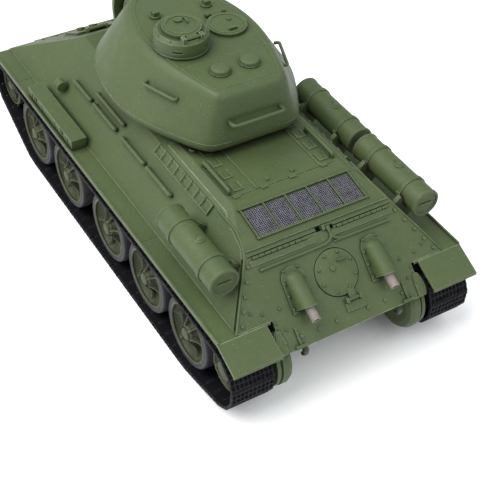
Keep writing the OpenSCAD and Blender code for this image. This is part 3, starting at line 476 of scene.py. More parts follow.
for side, letter, sign in SIDES:
    for i in range(1, 6):
        node, tyre = f"road_wheel_{letter}{i}", f"tyre_{letter}{i}"
        c = mid(tyre)
        lo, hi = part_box(tyre)
        R = (hi.z - lo.z) / 2 / MM
        out = max(abs(lo.y), abs(hi.y)) / MM
        inn = min(abs(lo.y), abs(hi.y)) / MM
        rim = R - 2.7
        m = wheel_frame(c.x, c.z, sign) @ rot("Z", 17 * i + (8 if sign < 0 else 0))
        s = Shape()
        dish(s, m, rim - 1.0, 3.8, out - 0.9, 3.4, 6, 0.75, 12, rim * 0.62, 1.05)
        # rim ring, hub and cap of the outer disc
        s.lathe([(rim - 1.0, out - 6), (rim, out - 6), (rim, out + 0.05), (rim - 0.35, out + 0.3),
            (rim - 0.75, out + 0.25),
                 (rim - 1.05, out - 0.1), (rim - 1.0, out - 1.0)], 96, m)
        s.lathe([(3.8, out - 4), (3.95, out - 0.9), (3.6, out - 0.2), (3.1, out + 0.1),
            (2.9, out + 0.95), (2.5, out + 1.3),
                 (1.2, out + 1.5), (0, out + 1.5)], 40, m)
        for k in range(6):
            s.lathe([(0.42, out - 1.2), (0.42, out + 0.1), (0.3, out + 0.25), (0, out + 0.25)], 6,
                    m @ rot("Z", 60 * k + 30) @ move(4.55, 0, 0))
        # plain back of the outer disc and the whole inner disc
        s.lathe([(4.4, out - 6), (rim - 1, out - 5.2), (rim - 1, out - 4.8), (4.4, out - 4.6)], 64, m)
        s.lathe([(0, inn), (4.4, inn), (4.4, out - 5)], 32, m)
        s.lathe([(4.4, inn + 2.6), (rim - 1, inn + 1.6), (rim - 1, inn), (rim, inn), (rim, inn + 6),
            (rim - 1, inn + 6),
                 (rim - 1, inn + 3.4), (4.4, inn + 3.9)], 64, m)
        s.make("wheel_" + letter + str(i), "wheel_" + letter + str(i), m_wheel, [node], angle=28)
        s = Shape()
        for a, b in ((inn, inn + 6), (out - 6, out)):
            s.lathe([(rim, a), (rim + 0.6, a), (rim + 0.9, a - 0.0), (R - 0.6, a), (R - 0.1, a + 0.5),
                (R, a + 1), (R, b - 1),
                     (R - 0.1, b - 0.5), (R - 0.6, b), (rim + 1.0, b), (rim + 0.75, b - 0.18),
                         (rim + 0.5, b), (rim, b), (rim, a)],
                    96, m)
        s.make("tyre_ring_" + letter + str(i), "wheel_" + letter + str(i), m_tyre, [tyre],
            slot="tyre_rubber", angle=40)

    # sprocket
    c = mid("sprocket_" + side)
    lo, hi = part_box("sprocket_" + side)
    ring = (hi.z - lo.z) / 2 / MM
    R = ring - 3.6
    m = wheel_frame(c.x, c.z, sign)
    s = Shape()
    face = 55.9
    dish(s, m, R - 1.3, 4.4, face - 0.3, 1.5, 6, 0.9, 6, R * 0.64, 1.5)
    s.lathe([(R - 1.4, 52.7), (R - 0.3, 52.7), (R, 53.1), (R, face - 0.4), (R - 0.3, face),
        (R - 1.0, face), (R - 1.4, face - 0.5)], 96, m)
    s.lathe([(4.3, face - 1), (4.4, face + 0.1), (4.2, face + 1.1), (3.2, face + 1.4),
        (1.6, face + 1.5), (0, face + 1.5)], 40, m)
    s.lathe([(0, 46), (3.8, 46), (3.8, 54)], 32, m)
    s.lathe([(3.8, 46.4), (R - 1, 46.0), (R - 0.3, 45.7), (R, 46.1), (R, 48.5), (R - 0.3, 48.9),
        (3.8, 48.7)], 96, m)
    s.lathe([(3.8, 53.0), (R - 1.4, 52.8)], 96, m)
    # notched ring between the discs
    teeth = []
    for k in range(18):
        for a, r in ((-6.2, ring - 1.6), (-5.6, ring - 0.1), (5.6, ring - 0.1), (6.2, ring - 1.6)):
            t = math.radians(20 * k + a + 10)
            teeth.append((r * math.cos(t), r * math.sin(t)))
    s.prism(teeth, 49.65, 51.95, m)
    for k in range(6):
        s.lathe([(0, 48.7), (1.3, 48.7), (1.3, 53), (0, 53)], 20,
            m @ rot("Z", -60 * k) @ move(6.6, 0, 0))
        for q in (-11, 11):
            s.lathe([(0.45, face - 1), (0.45, face + 0.2), (0, face + 0.3)], 6,
                m @ rot("Z", 60 * k + 30 + q) @ move(R - 0.75, 0, 0))
    s.make("drive_wheel_" + letter, "sprocket_body_" + letter, m_wheel, ["sprocket_" + side], angle=28)

    # idler
    c = mid("idler_" + side)
    lo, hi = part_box("idler_" + side)
    R = (hi.z - lo.z) / 2 / MM
    m = wheel_frame(c.x, c.z, sign)
    s = Shape()
    out = 57.6
    dish(s, m, R - 1.2, 3.2, out - 0.8, 2.4, 6, 0.8, 6, R * 0.62, 1.3)
    s.lathe([(R - 1.2, 52.6), (R - 0.3, 52.6), (R, 53), (R, out - 0.4), (R - 0.4, out), (R - 1.0, out),
        (R - 1.25, out - 0.6)], 96, m)
    s.lathe([(3.2, out - 3), (3.5, out - 0.6), (3.0, out + 0.1), (2.0, out + 0.7), (0, out + 0.8)], 40,
        m)
    s.lathe([(0, 44.8), (3.6, 44.8), (3.6, 54)], 32, m)
    s.lathe([(3.6, 46.2), (R - 1, 45.6), (R - 1, 44.2), (R - 0.3, 44.2), (R, 44.6), (R, 48.8),
        (R - 0.3, 49.2), (R - 1, 49.2),
             (R - 1, 47.6), (3.6, 47.4)], 96, m)
    s.make("front_wheel_" + letter, "idler_body_" + letter, m_wheel, ["idler_" + side], angle=28)


# ---- tracks ----------------------------------------------------------------------
def belt_path(grow):
    """Closed path of the middle of the belt as dense (x, z) points, clockwise seen from the left."""
    t, sp, idl = mid("tyre_l1"), mid("sprocket_left"), mid("idler_left")
    rw = (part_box("tyre_l1")[1].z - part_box("tyre_l1")[0].z) / 2 / MM + grow
    rs = (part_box("sprocket_left")[1].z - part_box("sprocket_left")[0].z) / 2 / MM + 0.1 + grow
    ri = (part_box("idler_left")[1].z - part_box("idler_left")[0].z) / 2 / MM + grow
    w1 = Vector((t.x, t.z))
    w5 = Vector((mid("tyre_l5").x, t.z))
    a, b = Vector((sp.x, sp.z)), Vector((idl.x, idl.z))

    def normal(p, rp, q, rq, up):
        d = q - p
        head = math.atan2(d.y, d.x)
        lift = math.acos((rp - rq) / d.length)
        return head + lift if up else head - lift
    low_a = normal(a, rs, w5, rw, False)
    low_b = normal(w1, rw, b, ri, False)
    top_a = normal(a, rs, w5, rw, True)
    top_b = normal(w1, rw, b, ri, True)

    def on(c, r, ang):
        return c + Vector((math.cos(ang), math.sin(ang))) * r

    def arc(c, r, a0, a1):
        n = max(2, int(abs(a1 - a0) / math.radians(3)))
        return [on(c, r, a0 + (a1 - a0) * k / n) for k in range(n + 1)]
    pts = arc(w5, rw, -math.pi / 2, low_a)
    pts += arc(a, rs, low_a, top_a - 2 * math.pi)
    zt = w5.y + rw

    def level(p, q):
        k = (zt - p.y) / (q.y - p.y)
        return p + (q - p) * min(max(k, 0), 1)
    pts.append(level(on(a, rs, top_a), on(w5, rw, top_a)))
    pts.append(level(on(b, ri, top_b), on(w1, rw, top_b)))
    pts += arc(b, ri, top_b, low_b)
    pts += arc(w1, rw, low_b, -math.pi / 2)
    return pts


def along_belt(pts):
    cum = [0.0]
    for p, q in zip(pts, pts[1:] + pts[:1]):
        cum.append(cum[-1] + (q - p).length)

    def at(s):
        s %= cum[-1]
        k = 0
        while cum[k + 1] < s:
            k += 1
        p, q = pts[k], pts[(k + 1) % len(pts)]
        f = (s - cum[k]) / max(cum[k + 1] - cum[k], 1e-9)
        return p + (q - p) * f
    return at, cum[-1]


TRACK_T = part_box("tyre_l1")[0].z / MM - 0.3
belt_at, belt_len = along_belt(belt_path(0.3 + TRACK_T / 2))
LINKS = 72
PITCH = belt_len / LINKS
t_lo, t_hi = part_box("track_left")
t_in, t_out = t_lo.y / MM, t_hi.y / MM
horn_top = 2.9


def link_shape(s, m, horn):
    """One cast link, long axis across the track, +Z to the ground side."""
    w, h, p = (t_out - t_in) / 2, TRACK_T / 2, PITCH / 2
    s.slot = 0
    s.box((-p + 0.55, -w, -h), (p - 0.55, w, -h + 0.62), m)
    # raised grid on the ground side
    for x in (-p + 0.5, -0.3, p - 1.1):
        s.box((x, -w + 0.05, -h + 0.6), (x + 0.62, w - 0.05, h), m)
    n = 10
    for k in range(n + 1):
        y = -w + 0.15 + (2 * w - 0.7) * k / n
        s.box((-p + 1.0, y, -h + 0.6), (p - 1.0, y + 0.42, h - 0.12), m)
    # hinge knuckles at both ends
    k = 7
    for j in range(k):
        y0 = -w + 2 * w * j / k
        e = -p if j % 2 == 0 else p
        s.lathe([(0, y0 + 0.12), (0.42, y0 + 0.12), (0.5, y0 + 0.25), (0.5, y0 + 2 * w / k - 0.25),
            (0.42, y0 + 2 * w / k - 0.12),
                 (0, y0 + 2 * w / k - 0.12)], 10, m @ move(e, 0, 0) @ rot("X", -90))
        x0, x1 = (-p, -p + 0.8) if j % 2 == 0 else (p - 0.8, p)
        s.box((x0, y0 + 0.15, -0.4), (x1, y0 + 2 * w / k - 0.15, 0.35), m)
    # pin heads
    for y in (-w - 0.0, w - 0.35):
        s.lathe([(0, 0), (0.34, 0), (0.34, 0.35), (0, 0.35)], 8, m @ move(p, y, 0) @ rot("X", -90))
    if horn is not None:
        a = [(-1.9, -h), (1.9, -h), (1.1, -h - horn_top + 0.5), (0.6, -h - horn_top),
            (-0.6, -h - horn_top), (-1.1, -h - horn_top + 0.5)]
        s.prism(a, -1.15, 1.15, m @ move(0, horn, 0) @ rot("X", 90))
    # shallow ribs on the wheel side
    for y in (-w + 0.4, w - 0.8):
        s.box((-p + 0.7, y, -h - 0.12), (p - 0.7, y + 0.4, -h + 0.05), m)


for side, letter, sign in SIDES:
    y = sign * (t_in + t_out) / 2
    s = Shape()
    for k in range(LINKS):
        a, b = belt_at((k - 0.5) * PITCH), belt_at((k + 0.5) * PITCH)
        c = (a + b) / 2
        d = (b - a).normalized()
        # +X along travel, +Z outward from the loop
        m = Matrix(((d.x, 0, d.y, c.x), (0, 1, 0, y), (d.y, 0, -d.x, c.y), (0, 0, 0, 1)))
        if m.determinant() < 0:
            m = Matrix(((d.x, 0, -d.y, c.x), (0, 1, 0, y), (d.y, 0, d.x, c.y), (0, 0, 0, 1)))
        level = mid("tyre_l5").x - 1 < c.x < mid("tyre_l1").x + 1
        link_shape(s, m, mid("tyre_" + letter + "1").y - y if k % 2 == 0 and level else None)
    s.make("track_links_" + letter, "hull", m_track, ["track_" + side], slot="track_black", angle=40)


# ---- rear plate ---------------------------------------------------------------
s = Shape()
# domed rivets over the plate's bolt places
for sg in (-1, 1):
    for i in range(5):
        s.dome(0.82, 0.85, REAR @ move(-(4 + 5.4 * i), sg * (37.4 + 2.95 * i), 0))
    for y in (8, 17, 26, 34):
        s.dome(0.82, 0.85, REAR @ move(-38.5, sg * y, 0))
    for x, y in ((24.5, 31), (29.5, 35), (33.5, 31.5), (22, 44), (24, 39)):
        s.dome(0.7, 0.7, REAR @ move(-x, sg * y, 0))
    # hinge along the top edge
    for i in range(9):
        s.lathe([(0, -1.3), (0.55, -1.3), (0.68, -1.15), (0.68, 1.15), (0.55, 1.3), (0, 1.3)], 12,
                REAR @ move(-1.2, sg * (9 + 3 * i), 0.5) @ rot("X", 90))
    # conduits run out from the notch and end in a rounded tip
    pts = arc_path([(0.3, -3.4 - sg * 0.5, 0.35), (-5.2, -3.9 + sg * 0.4, 0.4),
        (-6.7, -3.9 + sg * 4, 0.4), (-6.9, sg * 33, 0.4)], 3.5, 8)
    s.tube(pts, 0.68, REAR, 10, squash=0.8)
    # lower corner hinges with their small gussets
    for k in range(4):
        s.lathe([(0, -0.5), (0.75, -0.5), (0.9, -0.38), (0.9, 0.38), (0.75, 0.5), (0, 0.5)], 12,
                REAR @ move(-42.3, sg * 27.7 + (k - 1.5) * 1.25, 0.6) @ rot("X", 90))
    s.prism([(-41.5, 0), (-34, 0), (-41.5, 1.3)], -0.28, 0.28,
        REAR @ move(0, sg * 27.7, 0) @ rot("X", 90))
    # weld bead along the cover over each lower corner
    s.tube(arc_path([(-31.8, sg * 35.3, 0.1), (-33.2, sg * 33.9, 0.2), (-37, sg * 33.5, 0.2),
        (-43, sg * 33.7, 0.2)], 2), 0.28, REAR, 8)
s.box((-0.9, -2.0, 0), (1.4, -0.6, 0.8), REAR)
s.make("rear_plate_fittings", "hull", m_detail, bevel=0.06)
# black boxes as painted shade in the open joint along the top edge, the cable notch and the latch hole
# beside it
s = Shape()
for y0, y1 in ((-36.6, -6.4), (-1.6, 36.6)):
    s.box((-0.32, y0, -0.3), (0.02, y1, 0.08), REAR)
s.box((-1.3, -6.2, -0.3), (0.5, -1.9, 0.1), REAR)
s.box((-0.6, 0.1, -0.3), (1.5, 2.1, 0.12), REAR)
for sg in (-1, 1):
    s.box((-32.1, min(sg * 35.8, sg * 38.9), -1.6), (-28.2, max(sg * 35.8, sg * 38.9), -1.3), REAR)
s.make("rear_joint_shadow", "hull", m_shade_black, slot="mesh_metal")

# raised edge where the flank plates wrap the rear plate and turn over the deck
s = Shape()
for mm in (Matrix.Identity(4), MIRROR):
    pts = arc_path([(-106, 34.1, 66.5), (-121, 34.0, 66.3), (-128.0, 35.6, 64.7), (-132.8, 37.2, 62.5),
        (-153.6, 52.8, 43.9)], 6, 8)
    s.tube(pts, 0.55, mm, 10)
s.make("flank_edge_weld", "hull", m_detail)

# tow hook under the left corner
s = Shape()
for sg in (1, -1):
    hook = [(-160.8, 31.0), (-162.8, 31.6), (-164.9, 29.8), (-164.6, 27.0), (-162.6, 25.6),
        (-161.4, 26.6), (-162.9, 28.0), (-162.6, 29.4), (-160.4, 29.0)]
    s.prism(hook, -1.2, 1.2, move(0, sg * 24.4, 0) @ rot("X", 90))
s.make("tow_hooks", "hull", m_belly, slot="belly_black", bevel=0.4)

# round hatch
s = Shape()
hm = REAR @ move(-19.4, 0, 0)
s.lathe([(0, -1.8), (10.4, -1.8), (10.4, 0.15), (10.1, 0.55), (9.6, 0.62), (4, 0.85), (0, 0.95)], 96,
    hm)
for i in range(8):
    a = math.radians(22.5 + 45 * i)
    s.dome(0.85, 0.95, hm @ move(8.75 * math.cos(a), 8.75 * math.sin(a), 0.6))
s.tube(arc_path([(4.6, -5.6, 0.4), (4.6, -5.6, 1.9), (4.6, -1.6, 1.9), (4.6, -1.6, 0.4)], 1.2), 0.42,
    hm)
s.lathe([(1.45, 0.6), (1.45, 1.25), (1.2, 1.5), (0, 1.55)], 20, hm @ move(2.2, 1.5, 0))
hx = REAR @ move(-32.2, -2.8, 1.2)
for y0, y1 in ((-2.35, -1.3), (-1.1, -0.1), (0.1, 1.1), (1.3, 2.35)):
    s.lathe([(0, y0), (0.68, y0), (0.8, y0 + 0.12), (0.8, y1 - 0.12), (0.68, y1), (0, y1)], 16,
        hx @ rot("X", -90))
s.box((0.1, -1.7, -0.75), (4.6, 1.7, -0.15), hx)
s.lathe([(0, -4.0), (0.5, -4.0), (0.5, 4.0), (0, 4.0)], 12, hx @ rot("X", -90))
s.make("round_hatch", "trans_hatch", m_detail, ["transmission_hatch"], bevel=0.08)


# exhaust cowls: a plate with a half capsule blended into it, as one height surface
def cowl(s, m):
    top, low, cut = 7.2, -12.4, -11.0          # along the plate, from the cowl's middle

    def outline(x):
        return 5.65 if x < 1.6 else math.sqrt(max(5.65 ** 2 - (x - 1.6) ** 2, 0.0))

    def lift(x, y):
        # axis rises away from the plate towards the lower, open end
        t = (4.6 - x) / 17.0
        axis = 0.1 + 5.2 * max(t, 0)
        r = 4.1 if x < 2.0 else math.sqrt(max(4.1 ** 2 - ((x - 2.0) * 1.25) ** 2, 0.0))
        z = axis * (1 if x < 2 else r / 4.1) + math.sqrt(max(r * r - y * y, 0.0)) if abs(y) < r else 0.0
        if abs(y) >= r or x < cut:
            z = 0.0
        base = 0.8 if abs(y) < outline(x) + 1e-6 else 0.0
        k = 0.8
        h = max(k - abs(z - base), 0) / k
        return max(z, base) + h * h * k * 0.25

    xs = [low, low + 0.7, cut - 0.001] + [cut + (top - cut) * j / 76 for j in range(77)]

    def fn(u, v):
        x = xs[round(v * nv)]
        w = outline(x)
        t = 2 * u - 1
        # columns gather at the foot of the capsule so its side stays crisp
        y = w * t if abs(t) < 1e-6 else w * math.copysign(abs(t) ** 0.8, t)
        return (x, y, lift(x, y))
    nu, nv = 72, len(xs) - 1
    s.sheet(fn, nu, nv, m)
    # the open end of the capsule is a dark sheet behind a thin edge, painted shade inside the hollow
    mouth = [(cut - 0.02, y, max(lift(cut + 0.01, y) - 0.55, 0.82))
        for y in [-3.6 + 7.2 * k / 24 for k in range(25)]]
    s.slot = 1
    s.add(mouth + [(cut - 0.02, y, 0.8) for _, y, _ in mouth],
        [(k, k + 1, 26 + k, 25 + k) for k in range(24)], m)
    s.slot = 0
    # skirt down to the plate and the end wall
    n = nv + 1
    pts = [fn(0, j / nv) for j in range(n)] + [fn(1, j / nv) for j in range(n - 1, -1, -1)]
    base = [(x, y, -0.05) for x, y, z in pts]
    k = len(pts)
    s.add(pts + base, [(i, i + 1, k + i + 1, k + i) for i in range(k - 1)], m)
    end = [fn(i / nu, 0) for i in range(nu + 1)]
    foot = [(x, y, -0.05) for x, y, z in end]
    k = nu + 1
    s.add(end + foot, [(i, k + i, k + i + 1, i + 1) for i in range(nu)], m)


s, p, bore_shade = Shape(), Shape(), Shape()
for sg in (1, -1):
    base = REAR @ move(-16.9, sg * 20.2, 0)
    cowl(s, base)
    for x, y in ((6.0, 3.4), (6.0, -3.4), (0.8, 4.8), (0.8, -4.8), (-4.6, 4.85), (-4.6, -4.85),
        (-10.2, 4.85), (-10.2, -4.85)):
        s.dome(0.68, 0.8, base @ move(x, y, 0.8))
    axis = base @ move(1.6, 0, 0.2) @ rot("Y", 20) @ rot("Y", -90)
    p.lathe([(0, 6), (2.0, 6), (2.05, 19.9), (1.98, 20.2), (1.75, 20.25), (1.55, 20.05), (1.5, 14),
        (0, 14)], 40, axis)
    # dark sleeve and disc inside each bore, painted shade down the pipe
    bore_shade.lathe([(1.47, 14.2), (1.47, 19.7)], 32, axis)
    bore_shade.lathe([(0, 17.4), (1.46, 17.4)], 32, axis)
s.make("exhaust_cowls", "hull", [m_hull, m_shade_black], ["exhaust_covers"], angle=50)
p.make("exhaust_tubes", "hull", m_pipe, ["exhaust_pipes"], slot="pipe_metal")
bore_shade.make("exhaust_bore_shade", "hull", m_shade_black, slot="pipe_metal")

# ---- engine grille ---------------------------------------------------------------
s = Shape()
for i in range(5):
    y0 = -27.0 + 10.92 * i
    x0, w, d = -18.9, 10.5, 14.1
    nx, ny = 16, 12
    for k in range(ny):
        y = y0 + w * (k + 0.5) / ny
        pts = [(x0 + d * t / (2 * nx), y, 0.06 + 0.10 * math.cos(math.pi * (t + k)))
            for t in range(2 * nx + 1)]
        s.tube(pts, 0.15, SLOPE @ move(0, 0, -0.2), 5)
    for k in range(nx):
        x = x0 + d * (k + 0.5) / nx
        pts = [(x, y0 + w * t / (2 * ny), 0.06 - 0.10 * math.cos(math.pi * (t + k)))
            for t in range(2 * ny + 1)]
        s.tube(pts, 0.15, SLOPE @ move(0, 0, -0.2), 5)
s.make("grille_wires", "hull", m_mesh, ["grille_mesh"], slot="mesh_metal", angle=60)
# dark sheet under the wires, painted shade in the opening beneath the grille
s = Shape()
s.box((-19.3, -27.6, -2.6), (-4.4, 27.6, -2.2), SLOPE)
s.make("grille_shadow", "hull", m_shade_black, slot="mesh_metal")
s = Shape()
# frame of round-edged bars with small bolts
for x in (-3.7, -19.9):
    s.box((x - 0.5, -28.4, 0), (x + 0.5, 28.4, 0.95), SLOPE)
for i in range(6):
    y = -27.5 + 11.0 * i
    s.box((-20.1, y - 0.42, 0), (-3.6, y + 0.42, 0.8), SLOPE)
    for x in (-4.0, -9, -14.3, -19.4):
        s.dome(0.42, 0.5, SLOPE @ move(x, y, 0.82), 8)
for y in (-22, -11, 0, 11, 22):
    for x in (-3.7, -19.9):
        s.dome(0.4, 0.45, SLOPE @ move(x, y, 0.95), 8)
s.make("grille_bars", "hull", m_detail, ["grille_frame"], bevel=0.22)

# ---- engine deck details -------------------------------------------------------
s = Shape()
for sg in (1, -1):
    y = sg * 26.7
    s.tube(arc_path([(-101.6, y, 69), (-101.6, y, 71.4), (-80.1, y, 71.4), (-80.1, y, 69)], 1.6), 0.85)
for x in (-62, -68):
    s.lathe([(1.75, 0), (1.75, 0.8), (1.4, 1.1), (0, 1.15)], 20, move(x, 25.4, 69))
for y in (-6.1, 6.8):
    s.lathe([(1.15, 0), (1.15, 0.35), (0.95, 0.5), (0.6, 0.5), (0.55, 0.85), (0, 0.9)], 16,
        move(-100.7, y, 69))
# lugs over the transverse joint
for y in (-22, -5.5, 9, 23):
    s.box((-105.4, y, 69), (-103.4, y + 3.2, 69.45))
# strip in front of the rear plate
s.box((-131.6, -36, 63.6), (-130.9, 36, 64.0))
s.make("deck_fittings", "hull", m_detail, bevel=0.12)

# ---- flank details ---------------------------------------------------------------
s = Shape()
rails = [(0.4, 18.3), (-25.8, 22.9), (-54.3, 21.8), (-79.3, 22.1)]
for mm, count in ((Matrix.Identity(4), 4), (MIRROR, 2)):
    for x, ln in rails[:count]:
        s.tube(arc_path([(x + 1.1, 12.1, -0.1), (x - 0.1, 12.1, 2.0), (x + ln + 0.1, 12.1, 2.0),
            (x + ln - 1.1, 12.1, -0.1)], 1.5), 0.95, mm @ FLANK)
s.tube(arc_path([(-27.6, 7.4, -0.1), (-28.5, 7.4, 1.8), (0.1, 7.4, 1.8), (-0.8, 7.4, -0.1)], 1.2), 0.85,
    FLANK)
s.make("flank_rails", "hull", m_detail, ["hull_handrails"])

# ---- fuel drums -------------------------------------------------------------------
drum_r = (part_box("fuel_drums")[1].y - 0.0511) / MM
s = Shape()
for x0, sg in ((-140.5, 1), (-140.5, -1), (-90.5, -1)):
    m = move(x0, sg * 51.1, 61.2) @ rot("Y", 90)
    R = drum_r
    b = R - 0.42
    s.lathe([(0, 0.7), (R - 1.5, 0.55), (R - 1.25, 0.0), (R - 0.5, 0.0), (R - 0.1, 0.4), (R - 0.1, 1.2),
        (b, 1.5),
             (b, 9.7), (R + 0.05, 9.75), (R + 0.1, 9.85), (R + 0.1, 11.75), (R + 0.05, 11.85),
                 (b, 11.9),
             (b, 34.6), (R + 0.05, 34.65), (R + 0.1, 34.75), (R + 0.1, 36.65), (R + 0.05, 36.75),
                 (b, 36.8),
             (b, 45.0), (R - 0.1, 45.3), (R - 0.1, 46.1), (R - 0.5, 46.5), (R - 1.25, 46.5),
                 (R - 1.5, 45.95), (0, 45.8)], 96, m)
    # handle bars in the end recesses
    up = move(x0, sg * 51.1, 61.2)
    for x in (0.3, 46.2):
        s.tube([(x, -3.2, 0), (x, 3.2, 0)], 0.42, up, 8)
    # strap buckles, filler cap and its chain eye
    for x in (11, 35.7):
        s.box((x - 1.0, -sg * (R - 0.2) - 0.5, -0.6), (x + 1.0, -sg * (R - 0.2) + 0.5, 1.4), up)
    s.lathe([(1.9, -0.9), (1.9, 0.55), (1.6, 0.8), (0.9, 0.85), (0.8, 1.3), (0, 1.35)], 24,
        up @ move(21, 0, R - 0.6) @ rot("X", 0))
    s.dome(0.4, 0.5, up @ move(24.2, 0, R - 0.35), 8)
s.make("drum_bodies", "hull", m_hull, ["fuel_drums"], bevel=0.0, angle=40)

# ---- turret: one smooth casting over the frame's shell -----------------------------
LOW_LINE = [(-79.5, 0), (-79.5, 10), (-79.3, 19), (-76.5, 24.5), (-68, 30), (-58, 35.5), (-46, 41),
    (-33, 43.8), (-18, 43.8),
            (-4, 41), (8, 36.5), (17, 30), (23, 23), (26, 15), (26.5, 0)]
ROOF_LINE = [(-76, 0), (-76, 9), (-75.7, 15), (-73.5, 18.5), (-64, 21.5), (-54, 24.5), (-42, 27.2),
    (-30, 28.5), (-18, 28),
             (-7, 25.5), (2, 22), (9, 18), (14, 13), (16, 8), (16.5, 0)]
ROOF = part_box("turret_shell")[1].z / MM
SKIRT = 71.0


def smooth_ring(line, steps=6):
    """Closed curve through a half outline and its mirror image."""
    pts = [Vector(p) for p in line] + [Vector((x, -y)) for x, y in line[-2:0:-1]]
    n = len(pts)
    out = []
    for i in range(n):
        a, b, c, d = pts[i - 1], pts[i], pts[(i + 1) % n], pts[(i + 2) % n]
        for k in range(steps):
            t = k / steps
            square, cube = 2 * a - 5 * b + 4 * c - d, 3 * b - 3 * c + d - a
            out.append(0.5 * (2 * b + (c - a) * t + square * t * t + cube * t ** 3))
    # a light pass evens out the corners the outlines turn through
    for _ in range(6):
        out = [(out[i - 1] + out[i] * 2 + out[(i + 1) % len(out)]) / 4 for i in range(len(out))]
    return out


low_ring, roof_ring = smooth_ring(LOW_LINE), smooth_ring(ROOF_LINE)


def turret_ring(blend, draw):
    ring = []
    for a, b in zip(low_ring, roof_ring):
        p = a.lerp(b, blend)
        c = Vector((p.x + 26, p.y))
        ring.append(p - c.normalized() * draw)
    return ring


def turret_levels(inset):
    h = ROOF - SKIRT
    keys = [(0, 0, 5.2), (0.3, 0, 4.1), (0.7, 0, 3.2), (1.3, 0, 2.2), (2, 0, 1.4), (2.8, 0, 0.8),
        (3.8, 0, 0.3), (5, 0, 0.05), (6, 0, 0)]
    keys += [(6 + (h - 10) * k / 8, 0.87 * k / 8, 0) for k in range(1, 9)]
    keys += [(h - 3, 0.91, 0.1), (h - 2.2, 0.94, 0.3), (h - 1.5, 0.965, 0.7), (h - 1, 0.98, 1.0),
        (h - 0.6, 0.99, 1.5),
             (h - 0.3, 1, 1.9), (h - 0.1, 1, 2.5), (h - 0.02, 1, 3.0)]
    return [(SKIRT + min(max(z, inset), h - inset), b, d + inset) for z, b, d in keys]


def turret_solid(inset):
    s = Shape()
    n = len(low_ring)
    rings, last = [], None
    for z, b, d in turret_levels(inset):
        if last is not None and abs(z - last) < 1e-4:
            continue
        last = z
        rings.append([(p.x, p.y, z) for p in turret_ring(b, d)])
    verts = [v for r in rings for v in r]
    faces = []
    for j in range(len(rings) - 1):
        for i in range(n):
            k = (i + 1) % n
            faces.append((j * n + k, j * n + i, (j + 1) * n + i, (j + 1) * n + k))
    faces.append(tuple(range(n)))
    top = (len(rings) - 1) * n
    faces.append(tuple(range(top + n - 1, top - 1, -1)))
    return s.add(verts, faces)


def plain(s, name):
    mesh = bpy.data.meshes.new(name)
    mesh.from_pydata([tuple(v * MM) for v in s.verts], [], s.faces)
    mesh.update()
    o = bpy.data.objects.new(name, mesh)
    bpy.context.scene.collection.objects.link(o)
    return o


def carve(o, cutters):
    for c in cutters:
        md = o.modifiers.new("cut", "BOOLEAN")
        md.object = c
        md.operation = "DIFFERENCE"
        md.solver = "EXACT"
    shape = bpy.data.meshes.new_from_object(o.evaluated_get(bpy.context.evaluated_depsgraph_get()))
    o.modifiers.clear()
    o.data = shape
    for c in cutters:
        bpy.data.objects.remove(c)


body = plain(turret_solid(0), "turret_casting")
inner = turret_solid(2.0)
inner.verts = [Vector((min(v.x, 1.5), v.y, v.z)) for v in inner.verts]
cuts = [plain(inner, "cut_inside")]
for name, make in (
    ("seat", lambda s: s.rod(12, 24.6, move(14, 12.3, 85) @ rot("X", 90), 72, lip=0.01)),
    ("slot", lambda s: s.box((14, -12.3, 74.5), (54, 12.3, 99))),
    ("breech", lambda s: s.box((-4, -6, 79), (15, 6, 91))),
    ("cupola_seat", lambda s: s.rod(10.6, 8, move(-34, 12.5, ROOF - 6), 72, lip=0.01)),
    ("loader_seat", lambda s: s.rod(8.4, 8, move(-30, -13.5, ROOF - 6), 72, lip=0.01)),
    ("ring", lambda s: s.rod(28, 10, move(-22.5, 0, 64), 96, lip=0.01)),
):
    s = Shape()
    make(s)
    cuts.append(plain(s, "cut_" + name))
carve(body, cuts)
me = body.data
me.materials.clear()
me.materials.append(m_cast)
me.polygons.foreach_set("material_index", [0] * len(me.polygons))
me.polygons.foreach_set("use_smooth", [True] * len(me.polygons))
me.set_sharp_from_angle(angle=math.radians(32))
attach(body, "turret")
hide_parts("turret_shell")

s = Shape()
# collar and ring below the casting
s.lathe([(28, 65.6), (30.9, 65.6), (30.9, 69.3), (33.3, 69.3), (33.3, 71.6), (28, 71.6), (28, 65.6)],
    96, move(-22.5, 0, 0))
s.make("turret_collar", "turret", m_hull)

s = Shape()
# weld bead round the roof plate and seams across the roof
rim = [(p.x, p.y, ROOF + 0.02) for p in turret_ring(1, 4.4)]
s.tube(rim, 0.34, seg=8, close=True, squash=0.6)
s.tube([(-50.5, -21.6, ROOF), (-50.5, 21.6, ROOF)], 0.26, seg=8, squash=0.5)
# casting seam along the side walls
for sg in (1, -1):
    seam = [Vector((p.x, p.y)) for p in turret_ring(0.02, -0.02) if sg * p.y > 12 and p.x < 18]
    seam.sort(key=lambda p: p.x)
    s.tube([(p.x, p.y, SKIRT + 6.3) for p in seam], 0.22, seg=8)
s.make("turret_welds", "turret", m_detail)

s = Shape()
# rear grab rail and the side rails
s.tube(arc_path([(-77.2, -13, 87), (-82.2, -13, 87), (-82.2, 13, 87), (-77.2, 13, 87)], 2.4), 0.95)
for mm in (Matrix.Identity(4), MIRROR):
    s.tube(arc_path([(-57.4, 26.6, 91.4), (-58.7, 29.2, 91.5), (-41.2, 35.7, 91.5),
        (-40.4, 33.2, 91.4)], 1.6), 0.8, mm)
# ventilator domes
for y in (-7.5, 7.5):
    m = move(-60, y, ROOF)
    s.lathe([(4.9, -0.1), (4.9, 0.5), (4.55, 0.75), (4.5, 1.5), (4.2, 2.1), (3.4, 2.5), (2.0, 2.7),
        (0, 2.75)], 40, m)
    for k in range(6):
        s.dome(0.35, 0.4, m @ rot("Z", 60 * k) @ move(4.72, 0, 0.6), 8)
